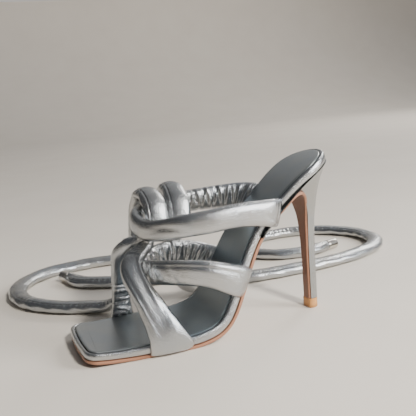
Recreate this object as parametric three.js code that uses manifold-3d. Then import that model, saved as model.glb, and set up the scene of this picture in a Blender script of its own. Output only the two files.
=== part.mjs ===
// A woman's lace-up sandal on a stiletto heel, for the left foot, standing empty on the floor.
// Millimetres. +X runs to the toe, +Y to the wearer's left, the outside of the foot, and +Z up.
// The origin is the centre of the top lift's underside, on the floor.
// The sole is made as a maker makes it: boards cut flat to an outline and bent over the last.
import * as THREE from "three";
import { mergeVertices } from "three/addons/utils/BufferGeometryUtils.js";
import Module from "manifold-3d";

const wasm = await Module();
wasm.setup();

// Sole
const SOLE_LENGTH = 197.7; // along the floor, back of the heel seat to the toe front
const HEEL_SETBACK = 14.3; // back of the heel seat to the centre of the top lift
const SEAT_RISE = 112.3; // heel seat above the forefoot
const TOE_SPRING = 3.8; // toe front above the floor
const BALL_WIDTH = 75; // across the ball of the foot
const SEAT_ROUND = 27; // length of the heel seat's round end
const TOE_CORNER_LATERAL = 9; // radius of the outer corner of the square toe
const TOE_CORNER_MEDIAL = 13; // radius of its inner corner
const TOE_BOW = 2.2; // how far the toe front bows out past its corners
const FOOTBED = 6.4; // wrapped board, underside to rim
const RIM = 3; // width of the footbed's raised rim
const RECESS = 0.9; // depth of the bed that the insole lies in
const INSOLE = 1.3; // insole sock with its thin foam
const OUTSOLE = 2.3; // outsole sheet under the foot
const OUTSOLE_INSET = 0.9; // outsole edge inside the footbed's edge
const FLAP = 1.5; // the same sheet skived thin down the heel's breast
const CLEARANCE = 0.3; // between pieces that lie on each other

// Heel
const LIFT_HEIGHT = 7.2;
const LIFT_DEPTH = 8.8; // front to back
const LIFT_WIDTH = 10.6;
const BREAST_AT = 0.202; // where the outsole leaves the footbed, as a share of the sole

// Upper
const INSTEP_RISE = 86; // middle of the instep loop above the floor
const ANKLE_AT = 0.5; // middle of the ankle, as a share of SOLE_LENGTH
const STRAP_WIDTH = 20;
const STRAP_PAD = 10; // thickness of a padded strap at its fullest
const STRAP_ROUND = 0.8; // power that rounds a strap's section, 1 for an ellipse and 0 for a box
const END_HOLD = 2; // rows over which a strap's end gives up the line of the sole's edge

// Ties
const TIE_WIDTH = 17;
const TIE_PAD = 10;
const TIP_LENGTH = 13;
const TIP_RADIUS = 5.2;

// One row for each section of the sole. at is a share of SOLE_LENGTH, rise of SEAT_RISE and spring
// of TOE_SPRING. lateral and medial are half widths as shares of BALL_WIDTH, board is of FOOTBED.
const SOLE = [
  { at: 0.0, rise: 1.0, spring: 0, lateral: 0.362, medial: 0.362, board: 1.05 },
  { at: 0.065, rise: 0.953, spring: 0, lateral: 0.362, medial: 0.362, board: 1.02 },
  { at: 0.146, rise: 0.864, spring: 0, lateral: 0.353, medial: 0.353, board: 1.0 },
  { at: 0.227, rise: 0.74, spring: 0, lateral: 0.33, medial: 0.335, board: 0.96 },
  { at: 0.299, rise: 0.62, spring: 0, lateral: 0.32, medial: 0.33, board: 0.95 },
  { at: 0.349, rise: 0.498, spring: 0, lateral: 0.335, medial: 0.346, board: 0.97 },
  { at: 0.39, rise: 0.364, spring: 0, lateral: 0.368, medial: 0.372, board: 1.0 },
  { at: 0.431, rise: 0.218, spring: 0, lateral: 0.408, medial: 0.405, board: 1.03 },
  { at: 0.471, rise: 0.1, spring: 0, lateral: 0.438, medial: 0.434, board: 1.05 },
  { at: 0.512, rise: 0.04, spring: 0, lateral: 0.458, medial: 0.458, board: 1.05 },
  { at: 0.563, rise: 0.012, spring: 0, lateral: 0.477, medial: 0.478, board: 1.03 },
  { at: 0.624, rise: 0.0, spring: 0, lateral: 0.487, medial: 0.498, board: 1.0 },
  { at: 0.705, rise: 0.0, spring: 0, lateral: 0.484, medial: 0.515, board: 0.96 },
  { at: 0.787, rise: 0.0, spring: 0, lateral: 0.472, medial: 0.512, board: 0.9 },
  { at: 0.898, rise: 0.0, spring: 0.3, lateral: 0.468, medial: 0.475, board: 0.8 },
  { at: 1.0, rise: 0.0, spring: 1.0, lateral: 0.465, medial: 0.455, board: 0.74 },
];
const SOLE_BLEND = 0.008; // reach of the running mean that takes the kinks out of the table

// Sections of the heel from the top lift to the seat. up is a share of the seat's height, back and
// half go from the stem, 0, to the heel seat, 1.
const HEEL = [
  { up: 0.0, back: 0, half: 0 },
  { up: 0.39, back: 0, half: 0 },
  { up: 0.52, back: 0.015, half: 0.04 },
  { up: 0.61, back: 0.05, half: 0.11 },
  { up: 0.69, back: 0.15, half: 0.23 },
  { up: 0.77, back: 0.25, half: 0.41 },
  { up: 0.83, back: 0.36, half: 0.59 },
  { up: 0.89, back: 0.54, half: 0.77 },
  { up: 0.95, back: 0.77, half: 0.91 },
  { up: 1.04, back: 1.03, half: 1.0 },
];

// The outsole's inner face down the heel's breast, from the top lift to the arch. up is a share of
// the seat's height, ahead of the way from the stem to where the outsole meets the footbed.
const BREAST = [
  { up: 0.065, ahead: 0.0, half: 0.0 },
  { up: 0.2, ahead: 0.0, half: 0.0 },
  { up: 0.33, ahead: 0.0, half: 0.0 },
  { up: 0.505, ahead: 0.012, half: 0.05 },
  { up: 0.61, ahead: 0.04, half: 0.12 },
  { up: 0.67, ahead: 0.075, half: 0.22 },
  { up: 0.74, ahead: 0.15, half: 0.38 },
  { up: 0.785, ahead: 0.262, half: 0.53 },
  { up: 0.81, ahead: 0.45, half: 0.68 },
  { up: 0.809, ahead: 0.72, half: 0.82 },
];

// Straps. along is a share of SOLE_LENGTH, out of BALL_WIDTH and up of INSTEP_RISE, at the middle
// of the strap. width and pad are shares of STRAP_WIDTH and STRAP_PAD.
const FRONT_LATERAL = [
  { along: 0.722, out: 0.52, up: 0.178, width: 1.22, pad: 0.72 },
  { along: 0.745, out: 0.467, up: 0.309, width: 1.0, pad: 0.85 },
  { along: 0.766, out: 0.387, up: 0.442, width: 0.86, pad: 0.92 },
  { along: 0.777, out: 0.32, up: 0.51, width: 0.83, pad: 0.95 },
  { along: 0.787, out: 0.227, up: 0.59, width: 0.82, pad: 0.98 },
  { along: 0.785, out: 0.147, up: 0.653, width: 0.79, pad: 0.95 },
  { along: 0.769, out: 0.08, up: 0.708, width: 0.72, pad: 0.9 },
  { along: 0.731, out: 0.013, up: 0.756, width: 0.62, pad: 0.85 },
  { along: 0.709, out: -0.02, up: 0.803, width: 0.52, pad: 0.8 },
  { along: 0.712, out: -0.04, up: 0.872, width: 0.46, pad: 0.8 },
];
const FRONT_MEDIAL = [
  { along: 0.783, out: -0.507, up: 0.142, width: 0.8, pad: 0.72 },
  { along: 0.783, out: -0.48, up: 0.285, width: 0.7, pad: 0.85 },
  { along: 0.785, out: -0.413, up: 0.435, width: 0.67, pad: 0.92 },
  { along: 0.787, out: -0.333, up: 0.577, width: 0.67, pad: 0.95 },
  { along: 0.786, out: -0.24, up: 0.706, width: 0.66, pad: 0.95 },
  { along: 0.76, out: -0.16, up: 0.787, width: 0.62, pad: 0.9 },
  { along: 0.722, out: -0.095, up: 0.822, width: 0.52, pad: 0.85 },
  { along: 0.704, out: -0.067, up: 0.866, width: 0.45, pad: 0.8 },
];
const MIDDLE = [
  { along: 0.436, out: 0.452, up: 0.472, width: 1.1, pad: 0.8 },
  { along: 0.47, out: 0.484, up: 0.505, width: 1.05, pad: 0.92 },
  { along: 0.551, out: 0.484, up: 0.578, width: 0.92, pad: 1.0 },
  { along: 0.622, out: 0.408, up: 0.603, width: 0.86, pad: 1.0 },
  { along: 0.685, out: 0.28, up: 0.603, width: 0.84, pad: 0.95 },
  { along: 0.728, out: 0.153, up: 0.599, width: 0.83, pad: 0.9 },
  { along: 0.754, out: 0.02, up: 0.594, width: 0.81, pad: 0.85 },
  { along: 0.744, out: -0.12, up: 0.596, width: 0.81, pad: 0.85 },
  { along: 0.67, out: -0.28, up: 0.614, width: 0.83, pad: 0.9 },
  { along: 0.583, out: -0.38, up: 0.616, width: 0.87, pad: 0.95 },
  { along: 0.497, out: -0.433, up: 0.573, width: 0.92, pad: 0.9 },
  { along: 0.436, out: -0.44, up: 0.506, width: 1.05, pad: 0.8 },
];
const INSTEP = [
  { along: 0.3, out: 0.397, up: 0.974, width: 0.96, pad: 0.88 },
  { along: 0.356, out: 0.433, up: 0.991, width: 0.88, pad: 0.98 },
  { along: 0.443, out: 0.467, up: 1.003, width: 0.8, pad: 1.02 },
  { along: 0.543, out: 0.48, up: 0.99, width: 0.78, pad: 1.02 },
  { along: 0.633, out: 0.413, up: 0.971, width: 0.76, pad: 1.0 },
  { along: 0.675, out: 0.32, up: 0.948, width: 0.74, pad: 0.98 },
  { along: 0.707, out: 0.187, up: 0.93, width: 0.73, pad: 0.95 },
  { along: 0.727, out: 0.08, up: 0.937, width: 0.73, pad: 0.93 },
  { along: 0.738, out: -0.013, up: 0.969, width: 0.73, pad: 0.9 },
  { along: 0.725, out: -0.145, up: 0.998, width: 0.74, pad: 0.92 },
  { along: 0.684, out: -0.265, up: 1.009, width: 0.76, pad: 0.95 },
  { along: 0.619, out: -0.373, up: 1.02, width: 0.78, pad: 1.0 },
  { along: 0.533, out: -0.433, up: 1.03, width: 0.8, pad: 1.0 },
  { along: 0.442, out: -0.453, up: 1.036, width: 0.84, pad: 0.98 },
  { along: 0.35, out: -0.44, up: 1.034, width: 0.92, pad: 0.92 },
  { along: 0.285, out: -0.413, up: 1.03, width: 1.0, pad: 0.85 },
];

// Where the straps' ends come out round the footbed's edge. at is a share of SOLE_LENGTH and width
// of STRAP_WIDTH. lean, in degrees, turns an end from square to the sole's line.
const STRAP_ENDS = {
  frontLateral: { at: 0.704, side: 1, width: 1.5, lean: 0 },
  frontMedial: { at: 0.783, side: -1, width: 0.95, lean: 0 },
  middleLateral: { at: 0.407, side: 1, width: 1.12, lean: 0 },
  middleMedial: { at: 0.4, side: -1, width: 1.12, lean: 0 },
  instepLateral: { at: 0.256, side: 1, width: 1.02, lean: -34 },
  instepMedial: { at: 0.229, side: -1, width: 1.05, lean: -25 },
};

// The loose ties: out of the instep loop, over its inner side and along the floor.
const TIE_FRONT_ROUTE = [
  [116.5, -2.8, 79],
  [116.5, -3.6, 86],
  [116.6, -7, 93.2],
  [117, -13.5, 98.4],
  [117.5, -22.5, 100.2],
  [118.2, -31.4, 98.2],
  [119.2, -38.5, 91.5],
  [120.6, -42.2, 81],
  [122.4, -44.3, 64],
  [124.8, -47, 46],
  [128.4, -52, 28.5],
  [134.5, -60.5, 14.5],
  [145, -71.5, 7],
  [160, -83, 5.4],
  [180, -96, 5.4],
  [198, -116, 5.4],
  [207, -144, 5.4],
  [205, -174, 5.4],
  [191, -201, 5.4],
  [167, -219, 5.4],
  [138, -226, 5.4],
  [107, -226, 5.4],
  [76, -221, 5.4],
  [47, -209, 5.4],
  [24, -190, 5.4],
  [13, -164, 5.4],
  [20, -138, 5.4],
  [43, -124, 5.4],
  [72, -124, 5.4],
  [100, -133, 5.4],
  [127, -144, 5.4],
  [149, -160, 5.4],
  [158, -181, 5.4],
];
const TIE_BACK_ROUTE = [
  [99, -6, 78],
  [98.9, -7, 86],
  [98.6, -11, 94],
  [98, -19, 99.8],
  [97.3, -30, 101.3],
  [96.6, -40.5, 98],
  [95.6, -47.5, 90],
  [94.4, -51, 79],
  [92.6, -54, 62],
  [90, -57, 44.5],
  [86, -62, 27.5],
  [79, -69.5, 14],
  [68, -77.5, 7],
  [52, -83, 5.4],
  [28, -85, 5.4],
  [2, -84, 5.4],
  [-24, -84, 5.4],
  [-54, -86, 5.4],
  [-84, -91, 5.4],
  [-114, -101, 5.4],
  [-140, -119, 5.4],
  [-154, -147, 5.4],
  [-152, -178, 5.4],
  [-135, -205, 5.4],
  [-107, -221, 5.4],
  [-76, -224, 5.4],
  [-47, -214, 5.4],
  [-26, -192, 5.4],
  [-23, -163, 5.4],
  [-40, -141, 5.4],
  [-68, -134, 5.4],
  [-97, -141.5, 5.4],
];

const FLOOR_LAYER = OUTSOLE + CLEARANCE; // the footbed's underside above the floor
const SEAT_TOP = FLOOR_LAYER + SEAT_RISE;
const STEM_FRONT = LIFT_DEPTH / 2 - FLAP; // inner face of the outsole's flap
const SEAT_HALF = SOLE[0].lateral * BALL_WIDTH;

// Reads a column of a table between its rows, with a monotone cubic, and straight on past its ends.
function readTable(rows, key, column, where) {
  const last = rows.length - 1;
  const chord = (i) =>
    (rows[i + 1][column] - rows[i][column]) / (rows[i + 1][key] - rows[i][key]);
  const slope = (i) => {
    if (i === 0) return chord(0);
    if (i === last) return chord(last - 1);
    const [before, after] = [chord(i - 1), chord(i)];
    return before * after <= 0 ? 0 : (2 * before * after) / (before + after);
  };
  if (where <= rows[0][key]) return rows[0][column] + slope(0) * (where - rows[0][key]);
  if (where >= rows[last][key]) {
    return rows[last][column] + slope(last) * (where - rows[last][key]);
  }
  let i = 0;
  while (where > rows[i + 1][key]) i += 1;
  const step = rows[i + 1][key] - rows[i][key];
  const t = (where - rows[i][key]) / step;
  return (
    rows[i][column] * (1 + 2 * t) * (1 - t) ** 2 +
    slope(i) * step * t * (1 - t) ** 2 +
    rows[i + 1][column] * t * t * (3 - 2 * t) +
    slope(i + 1) * step * t * t * (t - 1)
  );
}

// A column of the sole's table, as the mean of five readings side by side.
function readSole(column, at) {
  const readings = [-2, -1, 0, 1, 2].map((k) => readTable(SOLE, "at", column, at + k * SOLE_BLEND));
  return readings.reduce((sum, value) => sum + value, 0) / readings.length;
}

// The footbed's underside along the middle of the sole, with its widths and thickness.
function soleSection(at) {
  return {
    x: at * SOLE_LENGTH - HEEL_SETBACK,
    z: FLOOR_LAYER + readSole("rise", at) * SEAT_RISE + readSole("spring", at) * TOE_SPRING,
    lateral: readSole("lateral", at) * BALL_WIDTH,
    medial: readSole("medial", at) * BALL_WIDTH,
    board: readSole("board", at) * FOOTBED,
  };
}

// A line of sections in the XZ plane, read by the distance walked along it. up is the direction
// to the left of the walk, square to the line.
function walkAlong(sections) {
  const walked = [0];
  for (let i = 1; i < sections.length; i += 1) {
    const [a, b] = [sections[i - 1], sections[i]];
    walked.push(walked[i - 1] + Math.hypot(b.x - a.x, b.z - a.z));
  }
  const last = sections.length - 1;
  const normals = sections.map((_, i) => {
    const [a, b] = [sections[Math.max(i - 1, 0)], sections[Math.min(i + 1, last)]];
    return new THREE.Vector2(a.z - b.z, b.x - a.x).normalize();
  });
  const read = (distance) => {
    let i = 0;
    while (i < last - 1 && walked[i + 1] < distance) i += 1;
    const t = (distance - walked[i]) / (walked[i + 1] - walked[i]);
    const [a, b] = [sections[i], sections[i + 1]];
    const held = THREE.MathUtils.clamp(t, 0, 1);
    const section = { up: normals[i].clone().lerp(normals[i + 1], held).normalize() };
    for (const key of Object.keys(a)) {
      const reach = key === "x" || key === "z" ? t : held;
      section[key] = a[key] + (b[key] - a[key]) * reach;
    }
    return section;
  };
  return { length: walked[last], read };
}

const FINE = 400; // fine enough for the walk to follow the last
const soleWalk = walkAlong(Array.from({ length: FINE + 1 }, (_, i) => soleSection(i / FINE)));

// The distance walked from the heel to a share of the sole's length.
function walkedTo(at) {
  const target = at * SOLE_LENGTH - HEEL_SETBACK;
  let [low, high] = [0, soleWalk.length];
  while (high - low > 0.001) {
    const middle = (low + high) / 2;
    if (soleWalk.read(middle).x < target) low = middle;
    else high = middle;
  }
  return low;
}

// One side of a flat pattern, as points s along and y across, from the back end round to the
// middle of the toe. The back is a round seat of the given length, or square if that is 0.
function patternSide(walk, side, { seat, corner, inset, steps }) {
  const half = (s) => walk.read(s)[side] - inset;
  const points = [];
  const seatSteps = 9;
  for (let i = 0; seat > 0 && i < seatSteps; i += 1) {
    const turn = THREE.MathUtils.degToRad(2 + (88 * i) / seatSteps);
    const s = seat * (1 - Math.cos(turn));
    points.push([s + inset * (1 - i / seatSteps), half(s) * Math.sin(turn)]);
  }
  const front = walk.length - inset;
  const straight = front - corner - seat;
  for (let i = 0; i < steps; i += 1) {
    const s = seat + (straight * i) / steps;
    points.push([s, half(s)]);
  }
  const cornerSteps = 5;
  const edge = half(front - corner);
  for (let i = 0; i <= cornerSteps; i += 1) {
    const turn = (Math.PI / 2) * (i / cornerSteps);
    const y = edge - corner + corner * Math.cos(turn);
    const bow = toeBow(y, edge) * Math.sin(turn);
    points.push([front - corner + corner * Math.sin(turn) - bow, y]);
  }
  const frontSteps = 3;
  for (let i = 1; i <= frontSteps; i += 1) {
    const y = (edge - corner) * (1 - i / frontSteps) + 0.8;
    points.push([front - toeBow(y, edge), y]);
  }
  return points.map(([s, y], i) => {
    const [s0, y0] = points[Math.max(i - 1, 0)];
    const [s1, y1] = points[Math.min(i + 1, points.length - 1)];
    const out = new THREE.Vector2(y0 - y1, s1 - s0).normalize();
    return { s, y, out };
  });
}

function toeBow(y, edge) {
  return TOE_BOW * (y / edge) ** 2;
}

// A closed solid through rings of equal count, with its two ends closed from side to side.
function ringSolid(rings) {
  const count = rings[0].length;
  const faces = [];
  for (let i = 0; i + 1 < rings.length; i += 1) {
    for (let j = 0; j < count; j += 1) {
      const [a, b] = [i * count + j, i * count + ((j + 1) % count)];
      faces.push(a, b, b + count, a, b + count, a + count);
    }
  }
  for (const [start, first] of [
    [0, true],
    [(rings.length - 1) * count, false],
  ]) {
    for (let j = 0, k = count - 1; j < k - 1; j += 1, k -= 1) {
      const [a, b, c, d] = [start + j, start + j + 1, start + k - 1, start + k];
      faces.push(...(first ? [a, d, b] : [a, b, d]));
      if (b !== c) faces.push(...(first ? [b, d, c] : [b, c, d]));
    }
  }
  const geometry = new THREE.BufferGeometry();
  const corners = rings.flat().flatMap((p) => [p.x, p.y, p.z]);
  geometry.setAttribute("position", new THREE.Float32BufferAttribute(corners, 3));
  geometry.setIndex(faces);
  return facingOut(geometry);
}

// Turns a closed geometry's faces round if they point inwards.
function facingOut(geometry) {
  const p = geometry.attributes.position;
  const index = geometry.index.array;
  const [a, b, c] = [new THREE.Vector3(), new THREE.Vector3(), new THREE.Vector3()];
  let volume = 0;
  for (let i = 0; i < index.length; i += 3) {
    a.fromBufferAttribute(p, index[i]);
    b.fromBufferAttribute(p, index[i + 1]);
    c.fromBufferAttribute(p, index[i + 2]);
    volume += a.dot(b.cross(c));
  }
  if (volume < 0) {
    for (let i = 0; i < index.length; i += 3) [index[i], index[i + 1]] = [index[i + 1], index[i]];
  }
  return geometry;
}

// A sheet cut to a flat pattern and bent along its walk. The edge is a list of steps in from the
// pattern and up from the walk, from the underside round to the upper side.
function bentSheet(walk, pattern, edge) {
  const place = (point, side, step) => {
    const section = walk.read(point.s);
    const y = Math.max(point.y - step.in * point.out.y, 0.4);
    const bent = walk.read(point.s - step.in * point.out.x);
    const rise = step.up(section);
    return new THREE.Vector3(bent.x + bent.up.x * rise, side * y, bent.z + bent.up.y * rise);
  };
  const rings = pattern.lateral.map((point, i) => {
    const outer = edge.map((step) => place(point, 1, step));
    const inner = edge.map((step) => place(pattern.medial[i], -1, step));
    return [...outer, ...inner.reverse()];
  });
  return ringSolid(rings);
}

const solePattern = (inset) => ({
  lateral: patternSide(soleWalk, "lateral", {
    seat: SEAT_ROUND,
    corner: TOE_CORNER_LATERAL,
    inset,
    steps: 34,
  }),
  medial: patternSide(soleWalk, "medial", {
    seat: SEAT_ROUND,
    corner: TOE_CORNER_MEDIAL,
    inset,
    steps: 34,
  }),
});

// Footbed: a board wrapped in foil leather, with a raised rim round the insole's bed.
function makeFootbed(grow = 0) {
  const step = (inside, share, lift = 0) => ({
    in: inside - grow,
    up: (section) => section.board * share + lift,
  });
  const top =
    grow > 0
      ? [step(RIM, 1, grow), step(RIM + 1, 1, INSOLE - RECESS + CLEARANCE + grow)]
      : [step(RIM - 0.6, 0.97), step(RIM, 1, -RECESS)];
  return bentSheet(soleWalk, solePattern(0), [
    step(3.2, 0, -grow),
    step(1.3, 0.05, -grow),
    step(0.3, 0.28),
    step(0, 0.58),
    step(0.3, 0.86),
    step(1.1, 1, grow),
    ...top,
  ]);
}

// Insole: a foam-backed sock let into the footbed, rolled over at its edge.
function makeInsole() {
  const bed = (lift) => (section) => section.board - RECESS + CLEARANCE + lift;
  const inside = RIM + CLEARANCE;
  return bentSheet(soleWalk, solePattern(0), [
    { in: inside + 0.5, up: bed(0) },
    { in: inside, up: bed(INSOLE * 0.4) },
    { in: inside + 0.2, up: bed(INSOLE * 0.75) },
    { in: inside + 1.2, up: bed(INSOLE) },
  ]);
}

function heelHalf(share) {
  return LIFT_WIDTH / 2 + share * (SEAT_HALF - LIFT_WIDTH / 2);
}

// The outsole's inner face: up the heel's breast, over into the arch and on to the toe.
function outsoleLine() {
  const leave = soleSection(BREAST_AT);
  const flap = BREAST.map(({ up, ahead, half }) => ({
    x: STEM_FRONT + ahead * (leave.x - STEM_FRONT),
    z: Math.max(up * SEAT_TOP, LIFT_HEIGHT + CLEARANCE),
    half: heelHalf(half),
  }));
  const arch = [];
  for (let at = BREAST_AT; at < 1; at += 0.0025) {
    const section = soleWalk.read(walkedTo(at));
    arch.push({
      x: section.x - section.up.x * CLEARANCE,
      z: section.z - section.up.y * CLEARANCE,
      lateral: section.lateral,
      medial: section.medial,
      thick: OUTSOLE,
    });
  }
  const turn = new THREE.CatmullRomCurve3(
    [...flap, ...arch.slice(0, 9)].map((p) => new THREE.Vector3(p.x, p.half ?? p.lateral, p.z)),
    false,
    "centripetal",
  );
  const curved = turn.getPoints(24 * (flap.length + 8));
  const start = curved.slice(0, 24 * flap.length).map((p, i) => {
    const share = i / (24 * flap.length);
    const half = Math.max(p.y, LIFT_WIDTH / 2);
    return { x: p.x, z: p.z, lateral: half, medial: half, thick: FLAP + share * (OUTSOLE - FLAP) };
  });
  const end = soleWalk.read(soleWalk.length);
  const toe = { ...arch[arch.length - 1], x: end.x, z: end.z - CLEARANCE };
  return walkAlong([...start, ...arch, toe]);
}

const outsoleWalk = outsoleLine();

// Outsole: one sheet under the foot that runs on down the front of the heel.
function makeOutsole(grow = 0) {
  const side = (name, corner) =>
    patternSide(outsoleWalk, name, { seat: 0, corner, inset: OUTSOLE_INSET - grow, steps: 46 });
  const pattern = {
    lateral: side("lateral", TOE_CORNER_LATERAL),
    medial: side("medial", TOE_CORNER_MEDIAL),
  };
  return bentSheet(outsoleWalk, pattern, [
    { in: 0.9, up: (section) => -section.thick - grow },
    { in: 0.1, up: (section) => -section.thick * 0.7 - grow },
    { in: 0, up: () => grow },
  ]);
}

function toManifold(geometry) {
  const bare = geometry.clone();
  for (const name of Object.keys(bare.attributes)) {
    if (name !== "position") bare.deleteAttribute(name);
  }
  const merged = mergeVertices(bare, 1e-4);
  return new wasm.Manifold(
    new wasm.Mesh({
      numProp: 3,
      vertProperties: new Float32Array(merged.attributes.position.array),
      triVerts: new Uint32Array(merged.index.array),
    }),
  );
}

function fromManifold(solid) {
  const made = solid.getMesh();
  const geometry = new THREE.BufferGeometry();
  const corners = [];
  for (let i = 0; i < made.numVert; i += 1) {
    corners.push(...made.vertProperties.subarray(i * made.numProp, i * made.numProp + 3));
  }
  geometry.setAttribute("position", new THREE.Float32BufferAttribute(corners, 3));
  geometry.setIndex(Array.from(made.triVerts));
  return geometry;
}

// A flat outline in XZ, pulled out to both sides of the middle plane.
function crosswiseBlock(outline, halfWidth) {
  const shape = new THREE.Shape(outline.map(([x, z]) => new THREE.Vector2(x, z)));
  const block = new THREE.ExtrudeGeometry(shape, { depth: 2 * halfWidth, bevelEnabled: false });
  return block.rotateX(Math.PI / 2).translate(0, halfWidth, 0);
}

// Everything above the footbed's underside at the heel, and everything in front of the flap.
function heelCutters() {
  const over = [];
  const reach = walkedTo(BREAST_AT + 0.1);
  for (let s = -8; s <= reach; s += reach / 30) {
    const section = soleWalk.read(s);
    over.push([
      section.x - section.up.x * CLEARANCE,
      section.z - section.up.y * CLEARANCE,
    ]);
  }
  const far = BALL_WIDTH;
  over.push([over[over.length - 1][0], SEAT_TOP + far], [over[0][0] - far, SEAT_TOP + far]);
  over.push([over[0][0] - far, over[0][1]]);
  const front = [];
  for (let i = 0; i <= 60; i += 1) {
    const section = outsoleWalk.read((i / 60) * (outsoleWalk.length * 0.62));
    front.push([section.x + section.up.x * CLEARANCE, section.z + section.up.y * CLEARANCE]);
  }
  front.push([front[front.length - 1][0], -far], [front[0][0], -far]);
  return [crosswiseBlock(over, far), crosswiseBlock(front, far)];
}

// Heel: a moulded stiletto, flat in front and round behind, that spreads under the heel seat.
function makeHeel() {
  const bottom = LIFT_HEIGHT + CLEARANCE;
  const stemBack = -LIFT_DEPTH / 2;
  const front = soleSection(BREAST_AT).x;
  const backSteps = 12;
  const rings = [];
  const levels = 22;
  for (let i = 0; i <= levels; i += 1) {
    const z = bottom + (SEAT_TOP * HEEL[HEEL.length - 1].up - bottom) * (i / levels);
    const up = z / SEAT_TOP;
    const back = stemBack - readTable(HEEL, "up", "back", up) * (HEEL_SETBACK + stemBack);
    const half = heelHalf(readTable(HEEL, "up", "half", up));
    const widest = back + Math.min(half * 1.1, STEM_FRONT - stemBack + half - LIFT_WIDTH / 2);
    const ring = [];
    for (let j = 0; j <= backSteps; j += 1) {
      const turn = Math.PI * (j / backSteps - 0.5);
      const bow = Math.cos(turn) ** 0.85;
      ring.push(new THREE.Vector3(widest - (widest - back) * bow, half * Math.sin(turn), z));
    }
    ring.push(new THREE.Vector3(front, half, z), new THREE.Vector3(front, -half, z));
    rings.push(ring);
  }
  const [over, ahead] = heelCutters();
  return fromManifold(
    toManifold(ringSolid(rings)).subtract(toManifold(over)).subtract(toManifold(ahead)),
  );
}

// Top lift: the small wearing piece under the stem, flat in front and round behind.
function makeTopLift() {
  const shape = new THREE.Shape();
  const [half, front] = [LIFT_WIDTH / 2, LIFT_DEPTH / 2];
  const round = LIFT_DEPTH * 0.7;
  shape.moveTo(front, -half);
  shape.lineTo(front, half);
  shape.lineTo(front - LIFT_DEPTH + round, half);
  shape.absellipse(front - LIFT_DEPTH + round, 0, round, half, Math.PI / 2, (3 * Math.PI) / 2);
  shape.closePath();
  return new THREE.ExtrudeGeometry(shape, {
    depth: LIFT_HEIGHT,
    bevelEnabled: false,
    curveSegments: 10,
  });
}

// Two stations of a strap's end: lasted under the footbed's edge, and out round its side. ahead
// and out are the way from the middle of the edge, as a share of the board and in millimetres.
function strapEnd({ at, side, width, lean }) {
  const section = soleWalk.read(walkedTo(at));
  const edge = side > 0 ? section.lateral : section.medial;
  const leave = section.up.clone().rotateAround(new THREE.Vector2(), THREE.MathUtils.degToRad(lean));
  const across = new THREE.Vector3(-leave.y, 0, leave.x);
  return [
    { ahead: -0.32, out: -1.2, pad: 0.5 },
    { ahead: 0.32, out: 1.4, pad: 0.75 },
  ].map(({ ahead, out, pad }) => ({
    centre: new THREE.Vector3(
      section.x + section.board * (0.3 * section.up.x + ahead * leave.x),
      side * (edge + out),
      section.z + section.board * (0.3 * section.up.y + ahead * leave.y),
    ),
    across,
    width: width * STRAP_WIDTH,
    thick: pad * STRAP_PAD,
  }));
}

function strapRow({ along, out, up, width, pad }) {
  return {
    centre: new THREE.Vector3(
      along * SOLE_LENGTH - HEEL_SETBACK,
      out * BALL_WIDTH,
      up * INSTEP_RISE,
    ),
    width: width * STRAP_WIDTH,
    thick: pad * STRAP_PAD,
  };
}

// A padded strap: flat rounded sections along a smooth path. outward gives the way that the face
// of the strap looks at a place on it. Its ends lie along the sole's edge, if they are on it.
function padded(stations, outward, steps) {
  const path = new THREE.CatmullRomCurve3(stations.map((row) => row.centre), false, "centripetal");
  const last = stations.length - 1;
  const numbered = stations.map((row, place) => ({ ...row, place }));
  const sides = 12;
  const rings = [];
  for (let i = 0; i <= steps; i += 1) {
    const t = i / steps;
    const centre = path.getPoint(t);
    const along = path.getTangent(t);
    const face = outward(centre);
    face.addScaledVector(along, -face.dot(along)).normalize();
    const across = new THREE.Vector3().crossVectors(along, face);
    for (const [end, walked] of [
      [stations[0], t * last],
      [stations[last], (1 - t) * last],
    ]) {
      const held = 1 - THREE.MathUtils.smoothstep(walked, 1, 1 + END_HOLD);
      if (!end.across || held === 0) continue;
      across.lerp(end.across.clone().multiplyScalar(Math.sign(end.across.dot(across))), held);
      across.normalize();
    }
    const width = readTable(numbered, "place", "width", t * last);
    const thick = readTable(numbered, "place", "thick", t * last);
    const ring = [];
    for (let j = 0; j < sides; j += 1) {
      const turn = (2 * Math.PI * j) / sides;
      const bend = (value) => Math.sign(value) * Math.abs(value) ** STRAP_ROUND;
      ring.push(
        centre
          .clone()
          .addScaledVector(across, (bend(Math.cos(turn)) * width) / 2)
          .addScaledVector(face, (bend(Math.sin(turn)) * thick) / 2),
      );
    }
    rings.push(ring);
  }
  return toManifold(ringSolid(rings));
}

// Upper: the front straps rise from both sides of the toes to the instep, the middle strap passes
// under them, and the instep strap runs from the heel seat round the front of the ankle.
function makeUpper() {
  const overFoot = (place) => new THREE.Vector3(0, place.y, place.z - 0.2 * INSTEP_RISE);
  const roundAnkle = (place) =>
    new THREE.Vector3(place.x - (ANKLE_AT * SOLE_LENGTH - HEEL_SETBACK), place.y, 0);
  const rows = (table) => table.map(strapRow);
  const end = (name) => strapEnd(STRAP_ENDS[name]);
  const straps = [
    padded([...end("frontLateral"), ...rows(FRONT_LATERAL)], overFoot, 30),
    padded([...end("frontMedial"), ...rows(FRONT_MEDIAL)], overFoot, 26),
    padded(
      [...end("middleLateral"), ...rows(MIDDLE), ...end("middleMedial").reverse()],
      roundAnkle,
      52,
    ),
    padded(
      [...end("instepLateral"), ...rows(INSTEP), ...end("instepMedial").reverse()],
      roundAnkle,
      60,
    ),
  ];
  const joined = straps.reduce((whole, strap) => whole.add(strap));
  const beside = [
    makeFootbed(CLEARANCE),
    makeOutsole(CLEARANCE),
    makeTie(TIE_FRONT_ROUTE, CLEARANCE * 1.5),
    makeTie(TIE_BACK_ROUTE, CLEARANCE * 1.5),
  ];
  return fromManifold(beside.reduce((left, solid) => left.subtract(toManifold(solid)), joined));
}

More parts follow.
